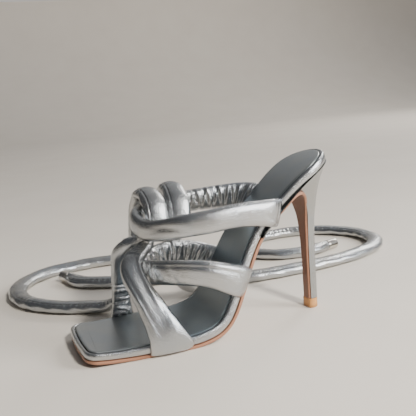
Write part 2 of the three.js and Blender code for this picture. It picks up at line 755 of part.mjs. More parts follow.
// A tie: a stuffed tube, wider than thick, that lies on its flat side along the floor.
function makeTie(route, grow = 0) {
  const path = new THREE.CatmullRomCurve3(route.map((p) => new THREE.Vector3(...p)));
  const steps = 64;
  const end = path.computeFrenetFrames(steps, false);
  const upright = new THREE.Vector3(0, 0, 1);
  const turn = Math.atan2(upright.dot(end.binormals[steps]), upright.dot(end.normals[steps]));
  const sides = 8;
  const outline = [];
  for (let i = 0; i < sides; i += 1) {
    const angle = (2 * Math.PI * i) / sides;
    const [a, b] = [
      (TIE_PAD / 2 + grow) * Math.cos(angle),
      (TIE_WIDTH / 2 + grow) * Math.sin(angle),
    ];
    outline.push(
      new THREE.Vector2(
        a * Math.cos(turn) - b * Math.sin(turn),
        a * Math.sin(turn) + b * Math.cos(turn),
      ),
    );
  }
  return new THREE.ExtrudeGeometry(new THREE.Shape(outline), { extrudePath: path, steps });
}

// Tip: a turned metal cap closed over the gathered end of a tie.
function makeTip(route) {
  const path = new THREE.CatmullRomCurve3(route.map((p) => new THREE.Vector3(...p)));
  const [end, along] = [path.getPoint(1), path.getTangent(1)];
  const [r, l] = [TIP_RADIUS, TIP_LENGTH];
  const profile = [
    [0, 0],
    [r - 0.5, 0],
    [r, 0.5],
    [r, 1.8],
    [r - 0.4, 2.1],
    [r - 0.4, l - 0.6],
    [r - 1, l],
    [0, l],
  ];
  const cap = new THREE.LatheGeometry(profile.map(([x, y]) => new THREE.Vector2(x, y)), 16);
  const aim = new THREE.Quaternion().setFromUnitVectors(new THREE.Vector3(0, 1, 0), along);
  const seat = end.clone().addScaledVector(along, CLEARANCE);
  return cap.applyQuaternion(aim).translate(seat.x, seat.y, seat.z);
}

const foil = { roughness: 0.28, metalness: 0.85 };
const piece = (name, geometry, look) => {
  const mesh = new THREE.Mesh(geometry, new THREE.MeshStandardMaterial(look));
  mesh.name = name;
  geometry.computeVertexNormals();
  return mesh;
};

const sandal = new THREE.Group();
sandal.add(
  piece("outsole", makeOutsole(), { color: 0xb98468, roughness: 0.6, metalness: 0 }),
  piece("footbed", makeFootbed(), { color: 0xc3c7c9, ...foil }),
  piece("insole", makeInsole(), { color: 0x75808a, roughness: 0.45, metalness: 0.6 }),
  piece("heel", makeHeel(), { color: 0xc3c7c9, ...foil }),
  piece("top_lift", makeTopLift(), { color: 0xc98a52, roughness: 0.55, metalness: 0 }),
  piece("upper_straps", makeUpper(), { color: 0xc9ccd0, ...foil }),
  piece("tie_front", makeTie(TIE_FRONT_ROUTE), { color: 0xc9ccd0, ...foil }),
  piece("tie_back", makeTie(TIE_BACK_ROUTE), { color: 0xc9ccd0, ...foil }),
  piece("tip_front", makeTip(TIE_FRONT_ROUTE), { color: 0xb8b2a6, roughness: 0.15, metalness: 1 }),
  piece("tip_back", makeTip(TIE_BACK_ROUTE), { color: 0xb8b2a6, roughness: 0.15, metalness: 1 }),
);

export default sandal;
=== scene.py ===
import math

import bpy
import numpy as np
from mathutils import Matrix, Vector


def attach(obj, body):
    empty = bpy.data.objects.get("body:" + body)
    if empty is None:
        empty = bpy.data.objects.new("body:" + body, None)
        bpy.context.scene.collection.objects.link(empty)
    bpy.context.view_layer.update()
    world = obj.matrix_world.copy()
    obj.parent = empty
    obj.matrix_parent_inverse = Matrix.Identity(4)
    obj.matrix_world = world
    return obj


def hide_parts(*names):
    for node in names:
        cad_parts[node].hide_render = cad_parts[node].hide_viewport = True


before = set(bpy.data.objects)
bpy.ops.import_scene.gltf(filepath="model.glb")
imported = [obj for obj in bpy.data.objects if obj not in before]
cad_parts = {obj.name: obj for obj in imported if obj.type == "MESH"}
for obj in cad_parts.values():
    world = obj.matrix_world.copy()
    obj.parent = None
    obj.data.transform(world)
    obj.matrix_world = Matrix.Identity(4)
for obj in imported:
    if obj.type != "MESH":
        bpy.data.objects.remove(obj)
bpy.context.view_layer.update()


# Camera. It looks at the outer side of a left sandal from a little above and ahead of the heel,
# level with the instep, and it is rolled by about four degrees.
CAMERA_PLACE = (0.2376, 0.4361, 0.1693)
CAMERA_HEADING = math.radians(19.96)  # turned from straight across the sandal towards the heel
CAMERA_DROP = math.radians(9.99)
CAMERA_ROLL = math.radians(-4.40)
CAMERA_LENS = 57.2  # millimetres, on a 36 mm sensor

look = Vector((
    -math.sin(CAMERA_HEADING) * math.cos(CAMERA_DROP),
    -math.cos(CAMERA_HEADING) * math.cos(CAMERA_DROP),
    -math.sin(CAMERA_DROP),
))
level = look.cross(Vector((0, 0, 1))).normalized()
upright = level.cross(look)
across = math.cos(CAMERA_ROLL) * level + math.sin(CAMERA_ROLL) * upright
rising = -math.sin(CAMERA_ROLL) * level + math.cos(CAMERA_ROLL) * upright
camera_data = bpy.data.cameras.new("camera")
camera_data.lens = CAMERA_LENS
camera_data.sensor_width = 36
camera_data.clip_start = 0.01
camera = bpy.data.objects.new("camera", camera_data)
camera.matrix_world = Matrix((
    (across.x, rising.x, -look.x, CAMERA_PLACE[0]),
    (across.y, rising.y, -look.y, CAMERA_PLACE[1]),
    (across.z, rising.z, -look.z, CAMERA_PLACE[2]),
    (0, 0, 0, 1),
))
bpy.context.scene.collection.objects.link(camera)
bpy.context.scene.camera = camera


# Ties. Two tubes of foil leather, turned right side out and stuffed, sewn closed along one side.
# They come up inside the instep strap, hang over its inner side and lie loose on the floor.
MM = 0.001
TIE_WIDTH = 17.0
TIE_PAD = 10.0
TIE_ROUTES = {
    "tie_front": [
        (116.5, -2.8, 79), (116.5, -3.6, 86), (116.6, -7, 93.2), (117, -13.5, 98.4),
        (117.5, -22.5, 100.2), (118.2, -31.4, 98.2), (119.2, -38.5, 91.5), (120.6, -42.2, 81),
        (122.4, -44.3, 64), (124.8, -47, 46), (128.4, -52, 28.5), (134.5, -60.5, 14.5),
        (145, -71.5, 7), (160, -83, 5.4), (180, -96, 5.4), (198, -116, 5.4), (207, -144, 5.4),
        (205, -174, 5.4), (191, -201, 5.4), (167, -219, 5.4), (138, -226, 5.4), (107, -226, 5.4),
        (76, -221, 5.4), (47, -209, 5.4), (24, -190, 5.4), (13, -164, 5.4), (20, -138, 5.4),
        (43, -124, 5.4), (72, -124, 5.4), (100, -133, 5.4), (127, -144, 5.4), (149, -160, 5.4),
        (158, -181, 5.4),
    ],
    "tie_back": [
        (99, -6, 78), (98.9, -7, 86), (98.6, -11, 94), (98, -19, 99.8), (97.3, -30, 101.3),
        (96.6, -40.5, 98), (95.6, -47.5, 90), (94.4, -51, 79), (92.6, -54, 62), (90, -57, 44.5),
        (86, -62, 27.5), (79, -69.5, 14), (68, -77.5, 7), (52, -83, 5.4), (28, -85, 5.4),
        (2, -84, 5.4), (-24, -84, 5.4), (-54, -86, 5.4), (-84, -91, 5.4), (-114, -101, 5.4),
        (-140, -119, 5.4), (-154, -147, 5.4), (-152, -178, 5.4), (-135, -205, 5.4),
        (-107, -221, 5.4), (-76, -224, 5.4), (-47, -214, 5.4), (-26, -192, 5.4), (-23, -163, 5.4),
        (-40, -141, 5.4), (-68, -134, 5.4), (-97, -141.5, 5.4),
    ],
}


def smooth_line(points, places):
    """A centripetal Catmull-Rom line through the points, read at places counted in points."""
    points = np.asarray(points, float)
    places = np.asarray(places, float)
    padded = np.vstack([2 * points[0] - points[1], points, 2 * points[-1] - points[-2]])
    i = np.clip(np.floor(places).astype(int), 0, len(points) - 2)
    t = (places - i)[:, None]
    p0, p1, p2, p3 = (padded[i + k] for k in range(4))
    d0, d1, d2 = (
        np.sqrt(np.linalg.norm(b - a, axis=1))[:, None] for a, b in ((p0, p1), (p1, p2), (p2, p3))
    )
    m1 = ((p1 - p0) / d0 - (p2 - p0) / (d0 + d1) + (p2 - p1) / d1) * d1
    m2 = ((p2 - p1) / d1 - (p3 - p1) / (d1 + d2) + (p3 - p2) / d2) * d1
    return (
        p1 * (2 * t**3 - 3 * t**2 + 1)
        + m1 * (t**3 - 2 * t**2 + t)
        + p2 * (3 * t**2 - 2 * t**3)
        + m2 * (t**3 - t**2)
    )


def unit(vectors):
    """Each vector over its own length."""
    return vectors / np.maximum(np.linalg.norm(vectors, axis=-1, keepdims=True), 1e-12)


def run_of(line):
    """The length walked along a line of points, from its start."""
    return np.concatenate([[0], np.cumsum(np.linalg.norm(np.diff(line, axis=0), axis=1))])


def even_line(points, count):
    """The smooth line through the points, at even steps of its length."""
    fine = smooth_line(points, np.linspace(0, len(points) - 1, 40 * len(points)))
    walked = run_of(fine)
    steps = np.linspace(0, walked[-1], count)
    return np.stack([np.interp(steps, walked, fine[:, k]) for k in range(3)], axis=1), steps


def ring_piece(name, rings, material, closed_ends=True, along=None, smooth=True):
    """Skin over closed rings, an array of ring x corner x 3 in millimetres, with ends closed from
    side to side. Its UV map has metres along the rings in U and metres round them in V."""
    n, m = rings.shape[:2]
    i, j = np.meshgrid(np.arange(n - 1), np.arange(m), indexing="ij")
    k = (j + 1) % m
    quads = np.stack([i * m + j, i * m + k, (i + 1) * m + k, (i + 1) * m + j], axis=-1)
    faces = quads.reshape(-1, 4)
    wrapped = np.concatenate([rings, rings[:, :1]], axis=1)
    steps = np.linalg.norm(np.diff(wrapped, axis=1), axis=2)
    v = np.concatenate([np.zeros((n, 1)), np.cumsum(steps, axis=1)], axis=1) * MM
    if along is None:
        along = run_of(rings.mean(axis=1))
    u = np.repeat(np.asarray(along)[:, None], m + 1, axis=1) * MM
    uv = np.stack([
        np.stack([u[i, j], v[i, j]], axis=-1), np.stack([u[i, j + 1], v[i, j + 1]], axis=-1),
        np.stack([u[i + 1, j + 1], v[i + 1, j + 1]], axis=-1),
        np.stack([u[i + 1, j], v[i + 1, j]], axis=-1),
    ], axis=2).reshape(-1, 2)
    if closed_ends:
        half = np.arange(m // 2 - 1)
        cap = np.stack([half, m - 1 - half, m - 2 - half, half + 1], axis=1)
        last = (n - 1) * m + cap[:, ::-1]
        cap_uv = np.stack([u[0, cap], v[0, cap]], axis=-1).reshape(-1, 2)
        last_uv = np.stack([u[-1, cap[:, ::-1]], v[-1, cap[:, ::-1]]], axis=-1).reshape(-1, 2)
        faces = np.vstack([faces, cap, last])
        uv = np.vstack([uv, cap_uv, last_uv])
    return mesh_piece(name, rings.reshape(-1, 3), faces, uv, material, smooth)


def mesh_piece(name, corners, faces, uv, material, smooth=True):
    """A piece from corners in millimetres and quads, with its place in its mesh. Faces are turned
    to point outwards where the enclosed volume comes out negative."""
    a, b, c, d = (corners[faces[:, k]] for k in range(4))
    volume = np.einsum("ij,ij->", a, np.cross(b, c)) + np.einsum("ij,ij->", a, np.cross(c, d))
    uv = uv.reshape(len(faces), 4, 2)
    if volume < 0:
        faces, uv = faces[:, ::-1], uv[:, ::-1]
    mesh = bpy.data.meshes.new(name)
    mesh.vertices.add(len(corners))
    mesh.vertices.foreach_set("co", (corners * MM).astype(np.float32).ravel())
    mesh.loops.add(faces.size)
    mesh.loops.foreach_set("vertex_index", faces.astype(np.int32).ravel())
    mesh.polygons.add(len(faces))
    mesh.polygons.foreach_set("loop_start", np.arange(0, faces.size, 4, dtype=np.int32))
    mesh.polygons.foreach_set("use_smooth", np.full(len(faces), smooth))
    mesh.uv_layers.new(name="surface")
    mesh.uv_layers[0].data.foreach_set("uv", np.ascontiguousarray(uv, np.float32).ravel())
    mesh.update()
    mesh.validate()
    piece = bpy.data.objects.new(name, mesh)
    bpy.context.scene.collection.objects.link(piece)
    mesh.materials.append(material)
    return piece


def new_group(name, inputs, outputs):
    """An empty shader group with its named sockets; inputs carry their standard values."""
    group = bpy.data.node_groups.new(name, "ShaderNodeTree")
    for label, kind, value in inputs:
        socket = group.interface.new_socket(label, in_out="INPUT", socket_type=kind)
        if value is not None:
            socket.default_value = value
    for label, kind in outputs:
        group.interface.new_socket(label, in_out="OUTPUT", socket_type=kind)
    return group, group.nodes.new("NodeGroupInput"), group.nodes.new("NodeGroupOutput")


def node(tree, kind, settings=None, **links):
    """A node with its settings, its sockets linked to other sockets or set to plain values."""
    made = tree.nodes.new(kind)
    for key, value in (settings or {}).items():
        setattr(made, key, value)
    for label, value in links.items():
        key = int(label[1:]) if label[0] == "_" else label.replace("_", " ")
        if isinstance(value, bpy.types.NodeSocket):
            tree.links.new(value, made.inputs[key])
        else:
            made.inputs[key].default_value = value
    return made


def foil_grain():
    """Foil laid on soft leather: a fine crackle, a pebble under it and slow drifts of tone."""
    group, given, gives = new_group(
        "foil grain",
        [("Place", "NodeSocketVector", None), ("Crackle", "NodeSocketFloat", 1.0),
         ("Tone", "NodeSocketColor", (0.6, 0.61, 0.62, 1)), ("Rough", "NodeSocketFloat", 0.25)],
        [("Colour", "NodeSocketColor"), ("Roughness", "NodeSocketFloat"),
         ("Height", "NodeSocketFloat")],
    )
    place = given.outputs["Place"]
    cells = node(group, "ShaderNodeTexVoronoi", {"feature": "DISTANCE_TO_EDGE"},
                 Vector=place, Scale=900.0)
    lines = node(group, "ShaderNodeMapRange", _0=cells.outputs["Distance"], From_Max=0.12)
    fine = node(group, "ShaderNodeTexNoise", Vector=place, Scale=2600.0, Detail=3.0)
    pebble = node(group, "ShaderNodeTexNoise", Vector=place, Scale=520.0, Detail=4.0,
                  Roughness=0.6)
    drift = node(group, "ShaderNodeTexNoise", Vector=place, Scale=38.0, Detail=3.0)
    crackle = node(group, "ShaderNodeMath", {"operation": "MULTIPLY"},
                   _0=lines.outputs[0], _1=given.outputs["Crackle"])
    rough_sum = node(group, "ShaderNodeMath", {"operation": "MULTIPLY_ADD"},
                     _0=pebble.outputs[0], _1=0.8, _2=fine.outputs[0])
    height = node(group, "ShaderNodeMath", {"operation": "MULTIPLY_ADD"},
                  _0=crackle.outputs[0], _1=0.45, _2=rough_sum.outputs[0])
    tint = node(group, "ShaderNodeValToRGB", _0=drift.outputs[0])
    tint.color_ramp.elements[0].color = (0.90, 0.93, 0.97, 1)
    tint.color_ramp.elements[0].position = 0.35
    tint.color_ramp.elements[1].color = (1.0, 0.99, 0.97, 1)
    tint.color_ramp.elements[1].position = 0.65
    toned = node(group, "ShaderNodeMix", {"data_type": "RGBA", "blend_type": "MULTIPLY"})
    toned.inputs["Factor"].default_value = 1.0
    group.links.new(given.outputs["Tone"], toned.inputs["A"])
    group.links.new(tint.outputs[0], toned.inputs["B"])
    rough = node(group, "ShaderNodeMath", {"operation": "MULTIPLY_ADD"},
                 _0=pebble.outputs[0], _1=0.14, _2=given.outputs["Rough"])
    group.links.new(toned.outputs["Result"], gives.inputs["Colour"])
    group.links.new(rough.outputs[0], gives.inputs["Roughness"])
    group.links.new(height.outputs[0], gives.inputs["Height"])
    return group


FOIL_GRAIN = foil_grain()


def foil_leather(name, tone, rough, crackle, grain=0.00017):
    """Foil leather in one tone. Metal colour from the grain group, its height as a bump."""
    material = bpy.data.materials.new(name)
    material.use_nodes = True
    tree = material.node_tree
    shader = tree.nodes["Principled BSDF"]
    shader.inputs["Metallic"].default_value = 1.0
    place = node(tree, "ShaderNodeTexCoord").outputs["Object"]
    foil = node(tree, "ShaderNodeGroup", {"node_tree": FOIL_GRAIN}, Place=place,
                Crackle=crackle, Tone=(*tone, 1), Rough=rough)
    bump = node(tree, "ShaderNodeBump", Height=foil.outputs["Height"], Distance=grain,
                Strength=0.6)
    tree.links.new(foil.outputs["Colour"], shader.inputs["Base Color"])
    tree.links.new(foil.outputs["Roughness"], shader.inputs["Roughness"])
    tree.links.new(bump.outputs["Normal"], shader.inputs["Normal"])
    return material


silver_foil = foil_leather("silver foil leather", (0.54, 0.55, 0.555), 0.10, 1.0)


def tie_rings(route, steps):
    """Flat rounded rings along a route: the flat side lies across the way up, and the stuffing swells and
    sinks a little. The seam is a sunk line on the upper face with a row of stitches beside it; wrinkles and
    folds run along the whole tube, and gathers run into the seam at its tip."""
    line, walked = even_line(route, steps)
    along = unit(np.gradient(line, axis=0))
    face = np.array([0, 0, 1.0]) - along * along[:, 2:3]
    span = np.ones(steps // 17) * 17 / steps
    face = np.stack([
        np.convolve(np.pad(face[:, k], len(span) // 2, mode="edge"), span, mode="same")[
            len(span) // 2:][:steps] for k in range(3)
    ], axis=1)
    face = unit(face - along * np.sum(face * along, axis=1, keepdims=True))
    side = np.cross(along, face)
    seam, dense = 2.25, 0.42
    turn = np.concatenate([
        np.linspace(seam - dense, seam + dense, 17),
        np.linspace(seam + dense, seam - dense + 2 * np.pi, 29)[1:-1],
    ])
    s = walked[:, None]
    swell = 1 + 0.03 * np.sin(walked / 23 + 1.3) + 0.02 * np.sin(walked / 9.1)
    left = walked[-1] - walked
    gather = 1 - 0.36 * np.exp(-((left / 9) ** 2))
    a = (TIE_WIDTH / 2 * 0.96 * swell * gather)[:, None] * np.cos(turn)
    b = (TIE_PAD / 2 * 0.97 * (2 - swell))[:, None] * np.sin(turn)
    sunk = 0.8 * np.exp(-(((turn[None] - seam) / 0.06) ** 2))
    stitch = np.clip(np.sin(s * 2 * np.pi / 2.6) * 3 + 1.2, 0, 1)
    stitch = (0.34 * stitch - 0.16) * np.exp(-(((turn[None] - seam - 0.2) / 0.06) ** 2))
    pucker = 0.16 * np.sin(s * 2 * np.pi / 5.2) * np.exp(-(((turn[None] - seam) / 0.5) ** 2))
    pleat = 0.45 * np.sin(turn * 9 + 0.6 * np.sin(s / 5)) * np.exp(-((left / 26) ** 2))[:, None]
    wrinkle = 0.24 * np.sin(s / 2.9 + 1.7 * np.sin(2 * turn) + 2 * np.sin(s / 31)) * (
        0.35 + 0.65 * np.abs(np.cos(turn)) ** 3)
    fold = 0.30 * np.sin(turn * 2 + s / 17) * np.sin(s / 11.3 + np.cos(turn))
    push = 1 + (pleat + wrinkle + fold + stitch + pucker - sunk) / 7
    rings = (
        line[:, None] + side[:, None] * (a * push)[..., None] + face[:, None] * (b * push)[..., None]
    )
    return rings, line, walked


tie_length = {}
for tie_name, route in TIE_ROUTES.items():
    rings, line, walked = tie_rings(route, 1100)
    tie = ring_piece(tie_name + "_tube", rings, silver_foil, along=walked)
    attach(tie, "root")
    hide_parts(tie_name)
    tie_length[tie_name] = (tie, line, walked)


# Tips. Turned metal caps, polished nickel, closed over the gathered end of each tie: a collar,
# a shallow groove and a plain barrel with a rounded end.
TIP_LENGTH = 13.0
TIP_RADIUS = 5.2
TIP_PROFILE = [
    (0.0, 3.2), (0.0, 4.5), (0.15, 4.95), (0.5, 5.15), (1.3, 5.2), (1.75, 5.1), (1.95, 4.85),
    (2.2, 4.72), (2.5, 4.8), (2.8, 4.82), (6.0, 4.84), (11.6, 4.84), (12.3, 4.74), (12.75, 4.4),
    (12.95, 3.9), (13.0, 3.2), (13.0, 1.5), (13.0, 0.01),
]


def nickel():
    """Polished nickel, warm, with faint turning marks round the axis of the tip."""
    material = bpy.data.materials.new("polished nickel")
    material.use_nodes = True
    tree = material.node_tree
    shader = tree.nodes["Principled BSDF"]
    shader.inputs["Metallic"].default_value = 1.0
    place = node(tree, "ShaderNodeTexCoord").outputs["UV"]
    stretched = node(tree, "ShaderNodeMapping", Vector=place)
    stretched.inputs["Scale"].default_value = (5000, 60, 1)
    marks = node(tree, "ShaderNodeTexNoise", Vector=stretched.outputs[0], Scale=1.0, Detail=2.0)
    rough = node(tree, "ShaderNodeMapRange", _0=marks.outputs[0], To_Min=0.07, To_Max=0.17)
    tone = node(tree, "ShaderNodeValToRGB", _0=marks.outputs[0])
    tone.color_ramp.elements[0].color = (0.60, 0.57, 0.52, 1)
    tone.color_ramp.elements[1].color = (0.76, 0.73, 0.68, 1)
    tree.links.new(tone.outputs[0], shader.inputs["Base Color"])
    tree.links.new(rough.outputs[0], shader.inputs["Roughness"])
    return material


polished_nickel = nickel()
for tie_name, tip_name in (("tie_front", "tip_front"), ("tie_back", "tip_back")):
    tie, line, walked = tie_length[tie_name]
    axis = unit(line[-1] - line[-3])
    flat = unit(np.array([0, 0, 1.0]) - axis * axis[2])
    beside = np.cross(axis, flat)
    turn = np.linspace(0, 2 * np.pi, 48, endpoint=False)
    spokes = np.cos(turn)[:, None] * flat + np.sin(turn)[:, None] * beside
    profile = smooth_line([(s + 0.3, r, 0) for s, r in TIP_PROFILE], np.linspace(0, 17, 69))
    rings = line[-1] + profile[:, None, :1] * axis + profile[:, None, 1:2] * spokes
    tip = ring_piece(tip_name + "_cap", rings, polished_nickel, along=profile[:, 0])
    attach(tip, "root")
    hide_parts(tip_name)


# Outsole. One sheet of brown leather, its cut edge dyed pinkish tan. It is cemented under the
# foot, then skived thin, turned down and glued over the front of the heel, to the top lift.
SOLE_LENGTH = 197.7
HEEL_SETBACK = 14.3
SEAT_RISE = 112.3
TOE_SPRING = 3.8
BALL_WIDTH = 75.0
SEAT_ROUND = 27.0
TOE_CORNER = {"lateral": 9.0, "medial": 13.0}
TOE_BOW = 2.2
FOOTBED = 6.4
RIM = 3.0
RECESS = 0.9
INSOLE = 1.3
OUTSOLE = 2.3
OUTSOLE_INSET = 0.9
FLAP = 1.5
CLEARANCE = 0.3
LIFT_HEIGHT = 7.2
LIFT_DEPTH = 8.8
LIFT_WIDTH = 10.6
BREAST_AT = 0.202
FLOOR_LAYER = OUTSOLE + CLEARANCE
SEAT_TOP = FLOOR_LAYER + SEAT_RISE
STEM_FRONT = LIFT_DEPTH / 2 - FLAP


def table(columns, rows):
    """A short table as one array for each named column."""
    return dict(zip(columns.split(), np.array(rows, float).T))


# Shares of SOLE_LENGTH, SEAT_RISE, TOE_SPRING, BALL_WIDTH twice, and FOOTBED.
SOLE = table("at rise spring lateral medial board", [
    (0.000, 1.000, 0.0, 0.362, 0.362, 1.05), (0.065, 0.953, 0.0, 0.362, 0.362, 1.02),
    (0.146, 0.864, 0.0, 0.353, 0.353, 1.00), (0.227, 0.740, 0.0, 0.330, 0.335, 0.96),
    (0.299, 0.620, 0.0, 0.320, 0.330, 0.95), (0.349, 0.498, 0.0, 0.335, 0.346, 0.97),
    (0.390, 0.364, 0.0, 0.368, 0.372, 1.00), (0.431, 0.218, 0.0, 0.408, 0.405, 1.03),
    (0.471, 0.100, 0.0, 0.438, 0.434, 1.05), (0.512, 0.040, 0.0, 0.458, 0.458, 1.05),
    (0.563, 0.012, 0.0, 0.477, 0.478, 1.03), (0.624, 0.000, 0.0, 0.487, 0.498, 1.00),
    (0.705, 0.000, 0.0, 0.484, 0.515, 0.96), (0.787, 0.000, 0.0, 0.472, 0.512, 0.90),
    (0.898, 0.000, 0.3, 0.468, 0.475, 0.80), (1.000, 0.000, 1.0, 0.465, 0.455, 0.74),
])
# Shares of SEAT_TOP, of the way from the stem to the arch, and from the stem's width to the seat's.
BREAST = table("up ahead half", [
    (0.065, 0.000, 0.00), (0.200, 0.000, 0.00), (0.330, 0.000, 0.00), (0.505, 0.012, 0.05),
    (0.610, 0.040, 0.12), (0.670, 0.075, 0.22), (0.740, 0.150, 0.38), (0.785, 0.262, 0.53),
    (0.810, 0.450, 0.68), (0.809, 0.720, 0.82),
])


def read_table(rows, key, column, where):
    """A column between its rows by a monotone cubic: the slope at a row is the harmonic mean of
    the chords on its two sides, or flat where they turn. Straight on past the ends."""
    k, v, where = rows[key], rows[column], np.asarray(where, float)
    chord = np.diff(v) / np.diff(k)
    product = chord[:-1] * chord[1:]
    total = np.where(product > 0, chord[:-1] + chord[1:], 1.0)
    slope = np.concatenate([chord[:1], np.where(product > 0, 2 * product / total, 0), chord[-1:]])
    i = np.clip(np.searchsorted(k, where) - 1, 0, len(k) - 2)
    step = k[i + 1] - k[i]
    t = np.clip((where - k[i]) / step, 0, 1)
    inside = (
        v[i] * (1 + 2 * t) * (1 - t) ** 2 + slope[i] * step * t * (1 - t) ** 2
        + v[i + 1] * t * t * (3 - 2 * t) + slope[i + 1] * step * t * t * (t - 1)
    )
    return inside + slope[0] * np.minimum(where - k[0], 0) + slope[-1] * np.maximum(
        where - k[-1], 0)


def read_sole(column, at):
    """The sole's table as the mean of five readings side by side."""
    return np.mean([
        read_table(SOLE, "at", column, np.asarray(at) + k * 0.008) for k in (-2, -1, 0, 1, 2)
    ], axis=0)


class Walk:
    """A line of sections in the XZ plane, read by the distance walked along it. up is square to
    the line, to the left of the walk."""

    def __init__(self, x, z, **columns):
        self.x, self.z, self.columns = x, z, columns
        self.run = np.concatenate([[0], np.cumsum(np.hypot(np.diff(x), np.diff(z)))])
        self.length = self.run[-1]
        ahead = unit(np.stack([np.gradient(x), np.gradient(z)], axis=-1))
        self.up_x, self.up_z = -ahead[:, 1], ahead[:, 0]

    def read(self, s):
        s = np.asarray(s, float)
        over = s - np.clip(s, 0, self.length)
        found = {key: np.interp(s, self.run, value) for key, value in self.columns.items()}
        found["up_x"] = np.interp(s, self.run, self.up_x)
        found["up_z"] = np.interp(s, self.run, self.up_z)
        found["x"] = np.interp(s, self.run, self.x) + over * found["up_z"]
        found["z"] = np.interp(s, self.run, self.z) - over * found["up_x"]
        return found


steps = np.linspace(0, 1, 1201)
sole_walk = Walk(
    steps * SOLE_LENGTH - HEEL_SETBACK,
    FLOOR_LAYER + read_sole("rise", steps) * SEAT_RISE + read_sole("spring", steps) * TOE_SPRING,
    lateral=read_sole("lateral", steps) * BALL_WIDTH,
    medial=read_sole("medial", steps) * BALL_WIDTH,
    board=read_sole("board", steps) * FOOTBED,
)


def heel_half(share):
    return LIFT_WIDTH / 2 + share * (SOLE["lateral"][0] * BALL_WIDTH - LIFT_WIDTH / 2)


def outsole_walk_line():
    """Up the breast, over into the arch and along it to the toe: a smooth line through the
    breast's table and the arch, a clearance under the footbed."""
    arch_s = np.linspace(np.interp(BREAST_AT, steps, sole_walk.run), sole_walk.length, 700)
    arch = sole_walk.read(arch_s)
    arch_x = arch["x"] - arch["up_x"] * CLEARANCE
    arch_z = arch["z"] - arch["up_z"] * CLEARANCE
    flap_x = STEM_FRONT + BREAST["ahead"] * (arch["x"][0] - STEM_FRONT)
    flap_z = np.maximum(BREAST["up"] * SEAT_TOP, LIFT_HEIGHT + CLEARANCE)
    few = slice(0, 56, 7)
    turn = smooth_line(
        np.stack([np.concatenate([flap_x, arch_x[few]]), np.concatenate(
            [heel_half(BREAST["half"]), arch["lateral"][few]]),
            np.concatenate([flap_z, arch_z[few]])], axis=1),
        np.linspace(0, 10, 401),
    )[:-1]
    half = np.maximum(turn[:, 1], LIFT_WIDTH / 2)
    thick = FLAP + (OUTSOLE - FLAP) * np.linspace(0, 1, len(turn))
    return Walk(
        np.concatenate([turn[:, 0], arch_x]), np.concatenate([turn[:, 2], arch_z]),
        lateral=np.concatenate([half, arch["lateral"]]),
        medial=np.concatenate([half, arch["medial"]]),
        thick=np.concatenate([thick, np.full(len(arch_x), OUTSOLE)]),
    )


outsole_walk = outsole_walk_line()


def pattern_side(walk, side, seat, inset, count):
    """Half of a flat pattern: s along and y across, from the back round to the middle of the toe.
    The back is a round seat or square, and the toe is square with one rounded corner."""
    corner = TOE_CORNER[side]
    half = lambda s: walk.read(s)[side] - inset
    rows = []
    if seat > 0:
        turn = np.linspace(math.radians(0.8), math.pi / 2, 40, endpoint=False)
        s = seat * (1 - np.cos(turn))
        rows.append(np.stack([s + inset * np.linspace(1, 0, 40), half(s) * np.sin(turn)], axis=1))
    front = walk.length - inset
    s = np.linspace(seat, front - corner, count, endpoint=False)
    rows.append(np.stack([s, half(s)], axis=1))
    edge = half(front - corner)
    turn = np.linspace(0, math.pi / 2, 25)
    y = edge - corner + corner * np.cos(turn)
    bow = TOE_BOW * (y / edge) ** 2 * np.sin(turn)
    rows.append(np.stack([front - corner + corner * np.sin(turn) - bow, y], axis=1))
    y = np.linspace(edge - corner, 0.3, 22)[1:]
    rows.append(np.stack([front - TOE_BOW * (y / edge) ** 2, y], axis=1))
    line = np.vstack(rows)
    ahead = unit(np.gradient(line, axis=0))
    return line, np.stack([-ahead[:, 1], ahead[:, 0]], axis=1)


def bent_rings(walk, patterns, profile_in, profile_up, across=9):
    """Sections of a sheet cut to a pattern and bent along its walk. The profile runs from the
    underside round the edge to the upper side, and both faces get points across the middle."""
    flat = []
    for side, sign in (("lateral", 1), ("medial", -1)):
        line, out = patterns[side]
        s = line[:, :1] - profile_in[None] * out[:, :1]
        y = np.maximum(line[:, 1:] - profile_in[None] * out[:, 1:], 0.15)
        flat.append(np.stack([s, sign * y, profile_up(walk.read(line[:, :1]))], axis=-1))
    t = np.linspace(0, 1, across + 2)[1:-1][None, :, None]
    over = flat[0][:, -1:] * (1 - t) + flat[1][:, -1:] * t
    under = flat[1][:, :1] * (1 - t) + flat[0][:, :1] * t
    s, y, rise = np.moveaxis(
        np.concatenate([flat[0], over, flat[1][:, ::-1], under], axis=1), -1, 0)
    bent = walk.read(s)
    return np.stack([bent["x"] + bent["up_x"] * rise, y, bent["z"] + bent["up_z"] * rise], axis=-1)


